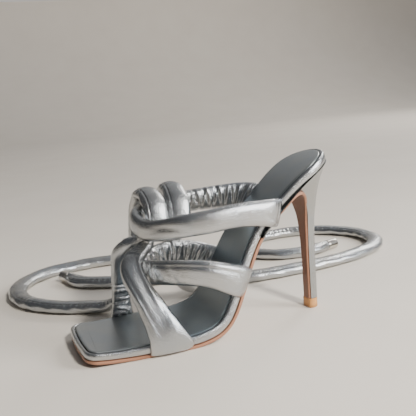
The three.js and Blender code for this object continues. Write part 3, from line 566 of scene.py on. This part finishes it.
def edge_mask_material(name, face, edge, edge_from, edge_to, rough, bump_scale):
    """Leather with a dyed cut edge: the edge is where the piece's own 'edge' value is one."""
    material = bpy.data.materials.new(name)
    material.use_nodes = True
    tree = material.node_tree
    shader = tree.nodes["Principled BSDF"]
    place = node(tree, "ShaderNodeTexCoord").outputs["Object"]
    mask = node(tree, "ShaderNodeAttribute", {"attribute_name": "edge"})
    limit = node(tree, "ShaderNodeMapRange", _0=mask.outputs["Fac"], From_Min=edge_from,
                 From_Max=edge_to)
    drift = node(tree, "ShaderNodeTexNoise", Vector=place, Scale=70.0, Detail=5.0, Roughness=0.6)
    pores = node(tree, "ShaderNodeTexNoise", Vector=place, Scale=bump_scale, Detail=4.0,
                 Roughness=0.65)
    face_tone = node(tree, "ShaderNodeValToRGB", _0=drift.outputs[0])
    face_tone.color_ramp.elements[0].color = (*[0.80 * c for c in face], 1)
    face_tone.color_ramp.elements[0].position = 0.3
    face_tone.color_ramp.elements[1].color = (*[1.12 * c for c in face], 1)
    face_tone.color_ramp.elements[1].position = 0.7
    edge_tone = node(tree, "ShaderNodeValToRGB", _0=pores.outputs[0])
    edge_tone.color_ramp.elements[0].color = (*[0.86 * c for c in edge], 1)
    edge_tone.color_ramp.elements[0].position = 0.35
    edge_tone.color_ramp.elements[1].color = (*[1.08 * c for c in edge], 1)
    edge_tone.color_ramp.elements[1].position = 0.65
    mixed = node(tree, "ShaderNodeMix", {"data_type": "RGBA"})
    tree.links.new(limit.outputs[0], mixed.inputs["Factor"])
    tree.links.new(face_tone.outputs[0], mixed.inputs["A"])
    tree.links.new(edge_tone.outputs[0], mixed.inputs["B"])
    roughness = node(tree, "ShaderNodeMapRange", _0=pores.outputs[0], To_Min=rough - 0.1,
                     To_Max=rough + 0.12)
    bump = node(tree, "ShaderNodeBump", Height=pores.outputs[0], Distance=0.0001, Strength=0.5)
    tree.links.new(mixed.outputs["Result"], shader.inputs["Base Color"])
    tree.links.new(roughness.outputs[0], shader.inputs["Roughness"])
    tree.links.new(bump.outputs["Normal"], shader.inputs["Normal"])
    return material


def set_edge(piece, values):
    """One number for each corner of the mesh, which the material reads as its edge value."""
    mark = piece.data.attributes.new("edge", "FLOAT", "POINT")
    mark.data.foreach_set("value", np.ascontiguousarray(values, np.float32).ravel())


def sole_patterns(walk, seat, inset, count):
    return {side: pattern_side(walk, side, seat, inset, count) for side in ("lateral", "medial")}


sole_leather = edge_mask_material(
    "brown sole leather", (0.205, 0.092, 0.052), (0.34, 0.165, 0.10), 0.4, 0.6, 0.45, 1500.0)
edge_in = np.array([2.2, 1.1, 0.55, 0.30, 0.16, 0.06, 0.0, 0.0, 0.06, 0.3, 0.9])
edge_up = np.array([-1.0, -1.0, -0.985, -0.93, -0.8, -0.6, -0.4, -0.2, -0.07, 0.0, 0.0])
edge_row = np.array([0, 0, 0.3, 1, 1, 1, 1, 1, 1, 0.6, 0])
rings = bent_rings(
    outsole_walk, sole_patterns(outsole_walk, 0.0, OUTSOLE_INSET, 330), edge_in,
    lambda section: section["thick"] * edge_up)
outsole = ring_piece("outsole_sheet", rings, sole_leather)
row = np.concatenate([edge_row, np.zeros(9), edge_row[::-1], np.zeros(9)])
set_edge(outsole, np.tile(row, (len(rings), 1)))
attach(outsole, "root")
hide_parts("outsole")


# Footbed. A moulded board, wrapped in silver foil leather that is pulled over its edge as a
# raised rim and lasted under it.
wrap = smooth_line([
    (6.0, 0.0, 0), (3.2, 0.0, 0), (1.3, 0.05, 0), (0.3, 0.28, 0), (0.0, 0.58, 0),
    (0.22, 0.84, 0), (0.95, 0.985, 0), (1.8, 1.0, 0), (2.5, 0.94, 0), (2.95, 0.80, 0),
    (3.1, 0.66, 0), (4.4, 0.64, 0),
], np.linspace(0, 11, 45))
rings = bent_rings(
    sole_walk, sole_patterns(sole_walk, SEAT_ROUND, 0.0, 300), wrap[:, 0],
    lambda section: section["board"] * wrap[:, 1])
footbed = ring_piece("footbed_wrap", rings, silver_foil)
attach(footbed, "root")
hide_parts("footbed")


# Insole. A sock of blue grey metallic leather over thin foam, cut just inside the rim, with its
# edge turned under over the foam as a soft roll.
sock = smooth_line([
    (6.0, -0.2, 0), (3.9, -0.2, 0), (3.35, 0.1, 0), (3.25, 0.55, 0), (3.5, 1.0, 0),
    (4.1, 1.24, 0), (5.0, 1.31, 0), (6.6, 1.30, 0),
], np.linspace(0, 7, 41))


def insole_material():
    """Smooth metallic leather, bluer than the straps, with a satin grain. It is painted darker from the ball
    to the waist, as painted shade and dark reflection under the straps: the tone falls off over 30 mm on both
    sides of that stretch."""
    material = foil_leather("insole foil leather", (0.50, 0.52, 0.52), 0.24, 0.15, 0.00006)
    tree = material.node_tree
    shader = tree.nodes["Principled BSDF"]
    place = node(tree, "ShaderNodeTexCoord").outputs["Object"]
    split = node(tree, "ShaderNodeSeparateXYZ", _0=place)
    toe = node(tree, "ShaderNodeMapRange", {"interpolation_type": "SMOOTHSTEP"},
               _0=split.outputs["X"], From_Min=0.150, From_Max=0.118)
    heel = node(tree, "ShaderNodeMapRange", {"interpolation_type": "SMOOTHSTEP"},
                _0=split.outputs["X"], From_Min=0.018, From_Max=0.050)
    both = node(tree, "ShaderNodeMath", {"operation": "MULTIPLY"},
                _0=toe.outputs[0], _1=heel.outputs[0])
    # Painted shade: the colour is multiplied darker between the ball and the waist, for the shade and dark
    # reflections under the straps.
    darkened_tone = node(tree, "ShaderNodeMix", {"data_type": "RGBA", "blend_type": "MULTIPLY"})
    tree.links.new(both.outputs[0], darkened_tone.inputs["Factor"])
    tree.links.new(shader.inputs["Base Color"].links[0].from_socket, darkened_tone.inputs["A"])
    darkened_tone.inputs["B"].default_value = (0.72, 0.79, 0.84, 1)
    tree.links.new(darkened_tone.outputs["Result"], shader.inputs["Base Color"])
    return material


insole_foil = insole_material()
rings = bent_rings(
    sole_walk, sole_patterns(sole_walk, SEAT_ROUND, 0.0, 300), sock[:, 0],
    lambda section: section["board"] - RECESS + CLEARANCE + sock[:, 1] * INSOLE / 1.3, across=21)
insole = ring_piece("insole_sock", rings, insole_foil)
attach(insole, "root")
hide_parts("insole")


# Heel. A moulded stiletto wrapped in the same foil leather, flat in front where the sole's flap covers it and
# round behind, spreading in a hollow curve to the seat of the foot. Its foil is toned darker than the straps'
# as painted shade.
HEEL = table("up back half", [
    (0.00, 0.00, 0.00), (0.39, 0.00, 0.00), (0.52, 0.015, 0.04), (0.61, 0.05, 0.11),
    (0.69, 0.15, 0.23), (0.77, 0.25, 0.41), (0.83, 0.36, 0.59), (0.89, 0.54, 0.77),
    (0.95, 0.77, 0.91), (1.04, 1.03, 1.00),
])


def heel_rings(levels, around):
    """Level sections that start on the front face and go round the back, each trimmed to the
    underside of the footbed and to the inner face of the sole's flap."""
    bottom = LIFT_HEIGHT + CLEARANCE
    z = np.linspace(bottom, SEAT_TOP * 1.02, levels)
    up = z / SEAT_TOP
    stem_back = -LIFT_DEPTH / 2
    back = stem_back - read_table(HEEL, "up", "back", up) * (HEEL_SETBACK + stem_back)
    half = heel_half(read_table(HEEL, "up", "half", up))
    widest = back + np.minimum(half * 1.1, STEM_FRONT - stem_back + half - LIFT_WIDTH / 2)
    turn = np.linspace(-np.pi / 2, np.pi / 2, around)
    bow = np.cos(turn) ** 0.85
    x = widest[:, None] - (widest - back)[:, None] * bow
    y = half[:, None] * np.sin(turn)
    count = 24
    flap = outsole_walk.read(np.linspace(0, outsole_walk.length * 0.45, 600))
    flap_x = flap["x"] - 0.05
    rising = np.maximum.accumulate(flap["z"])
    front = np.interp(z, rising, flap_x)
    t = np.linspace(0, 1, count)[1:-1]
    front_y = half[:, None] * (1 - 2 * t)
    side_t = np.linspace(0, 1, 12)[1:]
    side_x = widest[:, None] + (front - widest)[:, None] * side_t
    left = np.stack([side_x, np.repeat(half[:, None], 11, 1), np.repeat(z[:, None], 11, 1)], -1)
    right = left[:, ::-1] * [1, -1, 1]
    back_part = np.stack([x, y, np.repeat(z[:, None], around, 1)], axis=-1)
    front_part = np.stack([np.repeat(front[:, None], count - 2, 1), front_y,
                           np.repeat(z[:, None], count - 2, 1)], axis=-1)
    rings = np.concatenate([back_part, left, front_part, right], axis=1)
    under_z = np.interp(rings[..., 0], sole_walk.x, sole_walk.z) - 0.15
    rings[..., 2] = np.minimum(rings[..., 2], under_z)
    return rings


# Painted shade: the heel's foil has a darker tone than the straps', standing in for the darker reflections
# and the shade on the stem.
shaded_heel_foil = foil_leather("silver foil leather, toned darker as painted shade", (0.44, 0.445, 0.44), 0.15, 0.5)
heel = ring_piece("heel_wrap", heel_rings(150, 61), shaded_heel_foil)
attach(heel, "root")
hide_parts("heel")


# Top lift. A small block of dense orange tan rubber, pinned under the stem, flat in front and
# round behind.
def lift_material():
    """Moulded rubber, orange tan, a little darker in its lowest 3 mm, next to the floor."""
    material = bpy.data.materials.new("orange tan rubber")
    material.use_nodes = True
    tree = material.node_tree
    shader = tree.nodes["Principled BSDF"]
    place = node(tree, "ShaderNodeTexCoord").outputs["Object"]
    grain = node(tree, "ShaderNodeTexNoise", Vector=place, Scale=900.0, Detail=4.0)
    height = node(tree, "ShaderNodeSeparateXYZ", _0=place)
    low = node(tree, "ShaderNodeMapRange", _0=height.outputs["Z"], From_Min=0.0, From_Max=0.003)
    tone = node(tree, "ShaderNodeValToRGB", _0=grain.outputs[0])
    tone.color_ramp.elements[0].color = (0.50, 0.235, 0.075, 1)
    tone.color_ramp.elements[1].color = (0.64, 0.33, 0.12, 1)
    darkened_tone = node(tree, "ShaderNodeMix", {"data_type": "RGBA"})
    darkened_tone.inputs["A"].default_value = (0.36, 0.17, 0.06, 1)
    tree.links.new(low.outputs[0], darkened_tone.inputs["Factor"])
    tree.links.new(tone.outputs[0], darkened_tone.inputs["B"])
    bump = node(tree, "ShaderNodeBump", Height=grain.outputs[0], Distance=0.00008, Strength=0.5)
    rough = node(tree, "ShaderNodeMapRange", _0=grain.outputs[0], To_Min=0.38, To_Max=0.6)
    tree.links.new(darkened_tone.outputs["Result"], shader.inputs["Base Color"])
    tree.links.new(rough.outputs[0], shader.inputs["Roughness"])
    tree.links.new(bump.outputs["Normal"], shader.inputs["Normal"])
    return material


lift_turn = np.linspace(np.pi / 2, 3 * np.pi / 2, 41)
lift_round = LIFT_DEPTH * 0.7
lift_back = np.stack([
    LIFT_DEPTH / 2 - LIFT_DEPTH + lift_round + lift_round * np.cos(lift_turn),
    LIFT_WIDTH / 2 * np.sin(lift_turn)], axis=1)
front_y = np.linspace(-LIFT_WIDTH / 2, LIFT_WIDTH / 2, 22)
lift_front = np.stack([np.full(22, LIFT_DEPTH / 2), front_y], axis=1)
corner_round = 1 - 0.06 * (np.abs(front_y) / (LIFT_WIDTH / 2)) ** 12
lift_front[:, 0] *= corner_round
outline = np.vstack([lift_back, lift_front])[: 62]
levels = np.array([0.0, 0.0, 0.12, 0.5, 3.0, 6.0, 6.8, 7.08, 7.2, 7.2])
shrink = np.array([0.90, 0.965, 0.99, 1.0, 1.0, 1.0, 1.0, 0.99, 0.965, 0.90])
rings = np.concatenate([
    outline[None] * shrink[:, None, None], np.repeat(levels[:, None, None], len(outline), 1)],
    axis=2)
top_lift = ring_piece("top_lift_block", rings, lift_material())
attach(top_lift, "root")
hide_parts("top_lift")


# Upper. Padded straps of silver foil leather: the foil is folded round a soft core and closed
# on the foot side. Their ends are lasted under the footbed, and they are sewn where they cross.
INSTEP_RISE = 86.0
STRAP_WIDTH = 20.0
STRAP_PAD = 10.0
END_HOLD = 2  # stations over which a strap's end gives up the line of the sole's edge
# Shares of SOLE_LENGTH, BALL_WIDTH, INSTEP_RISE, STRAP_WIDTH and STRAP_PAD.
FRONT_LATERAL = [
    (0.722, 0.520, 0.178, 1.22, 0.72), (0.745, 0.467, 0.309, 1.00, 0.85),
    (0.766, 0.387, 0.442, 0.86, 0.92), (0.777, 0.320, 0.510, 0.83, 0.95),
    (0.787, 0.227, 0.590, 0.82, 0.98), (0.785, 0.147, 0.653, 0.79, 0.95),
    (0.769, 0.080, 0.708, 0.72, 0.90), (0.731, 0.013, 0.756, 0.62, 0.85),
    (0.709, -0.020, 0.803, 0.52, 0.80), (0.712, -0.040, 0.872, 0.46, 0.80),
]
FRONT_MEDIAL = [
    (0.783, -0.507, 0.142, 0.80, 0.72), (0.783, -0.480, 0.285, 0.70, 0.85),
    (0.785, -0.413, 0.435, 0.67, 0.92), (0.787, -0.333, 0.577, 0.67, 0.95),
    (0.786, -0.240, 0.706, 0.66, 0.95), (0.760, -0.160, 0.787, 0.62, 0.90),
    (0.722, -0.095, 0.822, 0.52, 0.85), (0.704, -0.067, 0.866, 0.45, 0.80),
]
MIDDLE = [
    (0.436, 0.452, 0.472, 1.10, 0.80), (0.470, 0.484, 0.505, 1.05, 0.92),
    (0.551, 0.484, 0.578, 0.92, 1.00), (0.622, 0.408, 0.603, 0.86, 1.00),
    (0.685, 0.280, 0.603, 0.84, 0.95), (0.728, 0.153, 0.599, 0.83, 0.90),
    (0.754, 0.020, 0.594, 0.81, 0.85), (0.744, -0.120, 0.596, 0.81, 0.85),
    (0.670, -0.280, 0.614, 0.83, 0.90), (0.583, -0.380, 0.616, 0.87, 0.95),
    (0.497, -0.433, 0.573, 0.92, 0.90), (0.436, -0.440, 0.506, 1.05, 0.80),
]
INSTEP = [
    (0.300, 0.397, 0.974, 0.96, 0.88), (0.356, 0.433, 0.991, 0.88, 0.98),
    (0.443, 0.467, 1.003, 0.80, 1.02), (0.543, 0.480, 0.990, 0.78, 1.02),
    (0.633, 0.413, 0.971, 0.76, 1.00), (0.675, 0.320, 0.948, 0.74, 0.98),
    (0.707, 0.187, 0.930, 0.73, 0.95), (0.727, 0.080, 0.937, 0.73, 0.93),
    (0.738, -0.013, 0.969, 0.73, 0.90), (0.725, -0.145, 0.998, 0.74, 0.92),
    (0.684, -0.265, 1.009, 0.76, 0.95), (0.619, -0.373, 1.020, 0.78, 1.00),
    (0.533, -0.433, 1.030, 0.80, 1.00), (0.442, -0.453, 1.036, 0.84, 0.98),
    (0.350, -0.440, 1.034, 0.92, 0.92), (0.285, -0.413, 1.030, 1.00, 0.85),
]


def strap_rows(rows):
    """Rows of shares as stations: middle point, width and thickness in millimetres."""
    along, out, up, width, pad = np.array(rows).T
    return np.stack([
        along * SOLE_LENGTH - HEEL_SETBACK, out * BALL_WIDTH, up * INSTEP_RISE,
        width * STRAP_WIDTH, pad * STRAP_PAD], axis=1)


def strap_end(at, side, width, pad, lean=0.0):
    """Two stations where a strap comes round the footbed's edge, and the way across its end. It
    leaves square to the sole's line, or leans from that by an angle in degrees."""
    section = sole_walk.read(np.interp(at * SOLE_LENGTH - HEEL_SETBACK, sole_walk.x,
                                       sole_walk.run))
    edge = section["lateral"] if side > 0 else section["medial"]
    c, n = math.cos(math.radians(lean)), math.sin(math.radians(lean))
    up = np.array([section["up_x"], 0, section["up_z"]])
    leave = np.array([up[0] * c - up[2] * n, 0, up[0] * n + up[2] * c])
    root = np.array([section["x"], 0, section["z"]]) + up * section["board"] * 0.3
    centres = [
        root + leave * section["board"] * reach + [0, side * (edge + out), 0]
        for reach, out in ((-0.32, -1.2), (0.32, 1.4))
    ]
    sizes = [(width * STRAP_WIDTH, pad * STRAP_PAD * share) for share in (1.0, 1.5)]
    return np.hstack([centres, sizes]), np.array([-leave[2], 0, leave[0]])


def strap_grid(stations, post, steps, sides, ends):
    """Rounded flat sections along the stations, square to the path, except that they turn to the
    given way across at each end. post gives the way that the strap's outer face looks at a place.
    Returns the rings, their outward ways, s along and v across in mm, and 1 on the outer face."""
    last = len(stations) - 1
    places = np.linspace(0, last, steps)
    line = smooth_line(stations[:, :3], places)
    numbers = {"n": np.arange(last + 1.0), "w": stations[:, 3], "t": stations[:, 4]}
    width = read_table(numbers, "n", "w", places)
    thick = read_table(numbers, "n", "t", places)
    along = unit(np.gradient(line, axis=0))
    face = post(line)
    face = unit(face - along * np.sum(face * along, axis=1, keepdims=True))
    across = np.cross(along, face)
    for end, walked in zip(ends, (places, last - places)):
        if end is not None:
            near = np.clip(1 - (walked - 1) / END_HOLD, 0, 1)[:, None]
            near = near * near * (3 - 2 * near)
            sign = np.sign(across[0] @ end if walked[0] == 0 else across[-1] @ end)
            across = unit(across * (1 - near) + sign * end * near)
    turn = np.linspace(0, 2 * np.pi, sides, endpoint=False)
    round_off = lambda value: np.sign(value) * np.abs(value) ** 0.8
    a = round_off(np.cos(turn))[None] * width[:, None] / 2
    b = round_off(np.sin(turn))[None] * thick[:, None] / 2
    rings = line[:, None] + across[:, None] * a[..., None] + face[:, None] * b[..., None]
    out = unit(across[:, None] * (a / width[:, None] ** 2)[..., None]
               + face[:, None] * (b / thick[:, None] ** 2)[..., None])
    s = np.repeat(run_of(line)[:, None], sides, axis=1)
    outer = np.clip(np.sin(turn)[None] * 3 + 0.4, 0, 1)
    return rings, out, s, a, outer


def creases(s, v, outer, rows):
    """Soft troughs and ridges. Each row has its face (1 outer, -1 on the foot's side), middle s
    and v, turn in degrees from across the strap, length, width and height in mm; the height falls
    off as a bell to both sides."""
    total = np.zeros_like(s)
    for face, at, off, angle, length, width, height in rows:
        c, n = math.cos(math.radians(angle)), math.sin(math.radians(angle))
        ds, dv = s - at, v - off
        run, aside = ds * n + dv * c, ds * c - dv * n
        bell = height * np.exp(-((aside / width) ** 2) - np.abs(run / (length / 2)) ** 3)
        total += bell * (outer if face > 0 else 1 - outer)
    return total


def gathers(face, first, last, count, length, width, height, off=0.0):
    """Rows of creases side by side, a ridge after each trough, that lean and vary a little and
    grow deeper towards the last."""
    rows = []
    for k in range(count):
        share = k / (count - 1)
        at = first + (last - first) * share + 0.9 * math.sin(2.4 * k)
        depth = height * (0.45 + 0.55 * share) * (1 + 0.25 * math.sin(1.7 * k + 0.6))
        lean = 16 * math.sin(2.9 * k + 0.4)
        rows.append((face, at, off + 1.5 * math.sin(3.3 * k), lean,
                     length * (0.8 + 0.2 * math.cos(2.1 * k)), width, -depth))
        rows.append((face, at + (last - first) / (count - 1) / 2, off - 1.2 * math.sin(2.7 * k),
                     lean + 7, length * 0.8, width * 0.7, 0.8 * depth))
    return rows


def over_foot(place):
    return place * [0, 1, 1] - [0, 0, 0.2 * INSTEP_RISE]


def round_ankle(place):
    return place * [1, 1, 0] - [0.5 * SOLE_LENGTH - HEEL_SETBACK, 0, 0]


def strap_piece(name, rows, post, steps, marks, flutter, start=None, end=None):
    """One padded strap with its creases pressed in on the outer face."""
    stations, ways = strap_rows(rows), [None, None]
    if start is not None:
        first, ways[0] = start
        stations = np.vstack([first, stations])
    if end is not None:
        final, ways[1] = end
        stations = np.vstack([stations, final[::-1]])
    rings, out, s, v, outer = strap_grid(stations, post, steps, 72, ways)
    swell = flutter * (
        np.sin(s / 7.3 + 0.9 * np.sin(v / 3.1)) * np.sin(v / 5.7 + s / 19)
        + 0.5 * np.sin(s / 3.1 + v / 2.3) * np.sin(s / 13 - v / 6))
    rings = rings + out * (creases(s, v, outer, marks) + swell * outer)[..., None]
    piece = ring_piece(name, rings, silver_foil, along=s[:, 0])
    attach(piece, "root")
    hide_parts("upper_straps")
    return piece


instep_strap = strap_piece("instep_strap", INSTEP, round_ankle, 560, [
    # face, at, off, angle, length, width, height
    (1, 5, 0, 6, 18, 1.8, -0.7), (1, 8, -7.6, 78, 12, 2.4, 0.9), (1, 13, -4.4, 66, 12, 1.8, -0.4),
    (1, 24, -3.2, 84, 34, 3.0, -0.30), (1, 20, 4.4, 97, 26, 3.2, 0.30),
    (1, 80, -1.5, 68, 22, 2.4, -0.35), (1, 92, 2.2, 80, 24, 2.2, -0.30),
    (1, 101, -0.8, 100, 24, 2.2, -0.30),
    (-1, 70, 1, 84, 60, 1.5, -0.6), (-1, 40, -2, 95, 40, 1.8, -0.5),
    *gathers(-1, 92, 126, 8, 13, 1.3, 0.8), *gathers(-1, 150, 236, 19, 16, 1.25, 1.6, 1.0),
    *gathers(1, 196, 234, 7, 13, 1.4, 0.9),
], 0.045, strap_end(0.256, 1, 1.02, 0.5, -34), strap_end(0.229, -1, 1.05, 0.5, -25))
middle_strap = strap_piece("middle_strap", MIDDLE, round_ankle, 520, [
    (1, 5, 8.2, 34, 11, 1.7, -0.9), (1, 13, 1.5, 66, 18, 2.8, -0.35), (1, 12, -4.2, 110, 16, 2.6, -0.3),
    (1, 17, -8.2, 83, 30, 1.8, 0.6), (1, 41, 7.4, 90, 64, 1.3, 0.35), (1, 41, 5.4, 90, 64, 1.5, -0.35),
    (1, 32, 1.2, 68, 20, 5.0, 0.5), (1, 45, -1.5, 62, 18, 3.2, -0.3),
    (1, 59, -0.5, 30, 14, 2.0, -0.45), (1, 66, 1.0, 18, 13, 2.0, 0.4), (1, 71, -1.5, 10, 14, 1.6, -0.5),
    (1, 77, 0.0, -8, 15, 1.5, -0.5), *gathers(1, 84, 112, 7, 14, 1.4, 0.7),
    *gathers(-1, 84, 178, 22, 15, 1.3, 1.6), *gathers(1, 140, 176, 6, 14, 1.5, 0.8),
    (-1, 30, 0, 88, 50, 1.6, -0.5),
], 0.05, strap_end(0.407, 1, 1.12, 0.5), strap_end(0.40, -1, 1.12, 0.5))
front_lateral = strap_piece("front_strap_outer", FRONT_LATERAL, over_foot, 340, [
    (1, 57, 4.6, 88, 44, 1.1, 0.8), (1, 57, 7.2, 89, 40, 1.4, -0.5), (1, 54, 1.6, 87, 38, 2.2, -0.5),
    (1, 38, -6.6, 92, 52, 1.1, 0.35), (1, 38, -4.9, 92, 52, 1.3, -0.30),
    (1, 24, 6.8, 82, 34, 3.4, 0.45), (1, 21, 0.0, 50, 24, 4.6, -0.45),
    (1, 9, 4.6, 100, 13, 2.2, -0.25),
    *gathers(1, 75, 96, 7, 12, 1.1, 0.8), *gathers(-1, 52, 94, 9, 13, 1.3, 1.2),
], 0.05, strap_end(0.704, 1, 1.5, 0.5))
front_medial = strap_piece("front_strap_inner", FRONT_MEDIAL, over_foot, 320, [
    (-1, 70, 4.0, 76, 20, 1.1, 0.8), (-1, 66, 1.4, 80, 22, 1.2, -0.7), (-1, 46, 0, 82, 26, 1.5, -0.7),
    (-1, 40, 3, 94, 22, 1.4, 0.5), *gathers(-1, 36, 8, 8, 13, 1.25, 1.5), *gathers(1, 34, 8, 6, 12, 1.4, 0.9),
    *gathers(1, 62, 88, 6, 11, 1.2, 0.8),
], 0.08, strap_end(0.783, -1, 0.95, 0.5))


# Floor and light. A pale, slightly warm studio sweep, a soft light above, a key from the heel's
# side of the camera and a dark room beyond, which is what the foil's dark streaks reflect.
def stage_material():
    """Painted floor, pale and matt, with a slow drift of tone."""
    material = bpy.data.materials.new("pale floor")
    material.use_nodes = True
    tree = material.node_tree
    shader = tree.nodes["Principled BSDF"]
    shader.inputs["Roughness"].default_value = 0.75
    place = node(tree, "ShaderNodeTexCoord").outputs["Object"]
    drift = node(tree, "ShaderNodeTexNoise", Vector=place, Scale=9.0, Detail=4.0)
    tone = node(tree, "ShaderNodeValToRGB", _0=drift.outputs[0])
    tone.color_ramp.elements[0].color = (0.70, 0.650, 0.580, 1)
    tone.color_ramp.elements[1].color = (0.77, 0.725, 0.655, 1)
    tree.links.new(tone.outputs[0], shader.inputs["Base Color"])
    return material


sweep = np.concatenate([
    np.linspace((620, 0), (-2500, 0), 14),
    np.stack([-2500 - 1000 * np.sin(np.linspace(0, np.pi / 2, 16)),
              740 - 740 * np.cos(np.linspace(0, np.pi / 2, 16))], axis=1)[1:],
])
columns = np.linspace(-4500, 4500, 10)
y, x = np.meshgrid(sweep[:, 0], columns, indexing="ij")
z = np.repeat(sweep[:, 1][:, None], len(columns), axis=1)
corners = np.stack([x, y, z - 0.05], axis=-1)
n, m = corners.shape[:2]
i, j = np.meshgrid(np.arange(n - 1), np.arange(m - 1), indexing="ij")
faces = np.stack([i * m + j, i * m + j + 1, (i + 1) * m + j + 1, (i + 1) * m + j], axis=-1)
floor = mesh_piece("floor", corners.reshape(-1, 3), faces.reshape(-1, 4),
                   np.zeros((faces.size // 4 * 4, 2)), stage_material())

LIGHTS = [
    # name, place in metres, aimed at, width, height, watts, colour
    ("window", (-0.84, 0.72, 0.58), (0.08, 0.0, 0.05), 0.55, 0.55, 17.0, (1.0, 0.99, 0.98)),
    ("key", (-0.22, 1.2, 1.05), (0.08, 0.0, 0.05), 0.2, 0.2, 31.0, (1.0, 0.95, 0.88)),
    ("back", (-1.9, -1.6, 1.4), (-0.7, -1.5, 0.0), 0.9, 0.6, 28.0, (1.0, 0.96, 0.91)),
]
for name, place, aim, width, height, watts, colour in LIGHTS:
    light = bpy.data.lights.new(name, "AREA")
    light.shape, light.size, light.size_y = "RECTANGLE", width, height
    light.energy, light.color = watts, colour
    lamp = bpy.data.objects.new(name, light)
    way = (Vector(aim) - Vector(place)).normalized()
    lamp.matrix_world = Matrix.Translation(place) @ way.to_track_quat("-Z", "Y").to_matrix().to_4x4()
    lamp.visible_glossy = name != "key"
    bpy.context.scene.collection.objects.link(lamp)

world = bpy.data.worlds.new("studio")
bpy.context.scene.world = world
world.use_nodes = True
room = world.node_tree
sky = room.nodes["Background"]
way = node(room, "ShaderNodeTexCoord").outputs["Generated"]
split = node(room, "ShaderNodeSeparateXYZ", _0=way)
ramp = node(room, "ShaderNodeValToRGB", _0=split.outputs["Z"])
ramp.color_ramp.elements[0].color = (0.26, 0.235, 0.225, 1)
ramp.color_ramp.elements[0].position = 0.0
ramp.color_ramp.elements[1].color = (0.40, 0.40, 0.41, 1)
ramp.color_ramp.elements[1].position = 0.95
for height, tone in ((0.22, (0.42, 0.41, 0.41)), (0.45, (0.78, 0.78, 0.79)), (0.7, (0.55, 0.55, 0.56))):
    ramp.color_ramp.elements.new(height).color = (*tone, 1)
toe_side = node(room, "ShaderNodeMapRange", _0=split.outputs["X"], From_Min=-0.25, From_Max=0.45,
                To_Min=1.0, To_Max=0.22)
front = node(room, "ShaderNodeMix", {"data_type": "RGBA", "blend_type": "MULTIPLY"})
front.inputs["Factor"].default_value = 1.0
room.links.new(ramp.outputs[0], front.inputs["A"])
room.links.new(toe_side.outputs[0], front.inputs["B"])
wall = node(room, "ShaderNodeMapRange", _0=split.outputs["X"], From_Min=0.35, From_Max=-0.45,
            To_Min=0.10, To_Max=0.62)
wall_tone = node(room, "ShaderNodeCombineColor", _0=wall.outputs[0], _1=wall.outputs[0],
                 _2=wall.outputs[0])
side = node(room, "ShaderNodeMapRange", _0=split.outputs["Y"], From_Min=-0.15, From_Max=-0.55)
around = node(room, "ShaderNodeMix", {"data_type": "RGBA"})
room.links.new(side.outputs[0], around.inputs["Factor"])
room.links.new(front.outputs["Result"], around.inputs["A"])
room.links.new(wall_tone.outputs[0], around.inputs["B"])
seen = node(room, "ShaderNodeLightPath")
choice = node(room, "ShaderNodeMix", {"data_type": "RGBA"})
room.links.new(seen.outputs["Is Camera Ray"], choice.inputs["Factor"])
room.links.new(around.outputs["Result"], choice.inputs["A"])
choice.inputs["B"].default_value = (0.62, 0.60, 0.58, 1)
room.links.new(choice.outputs["Result"], sky.inputs["Color"])
sky.inputs["Strength"].default_value = 0.9
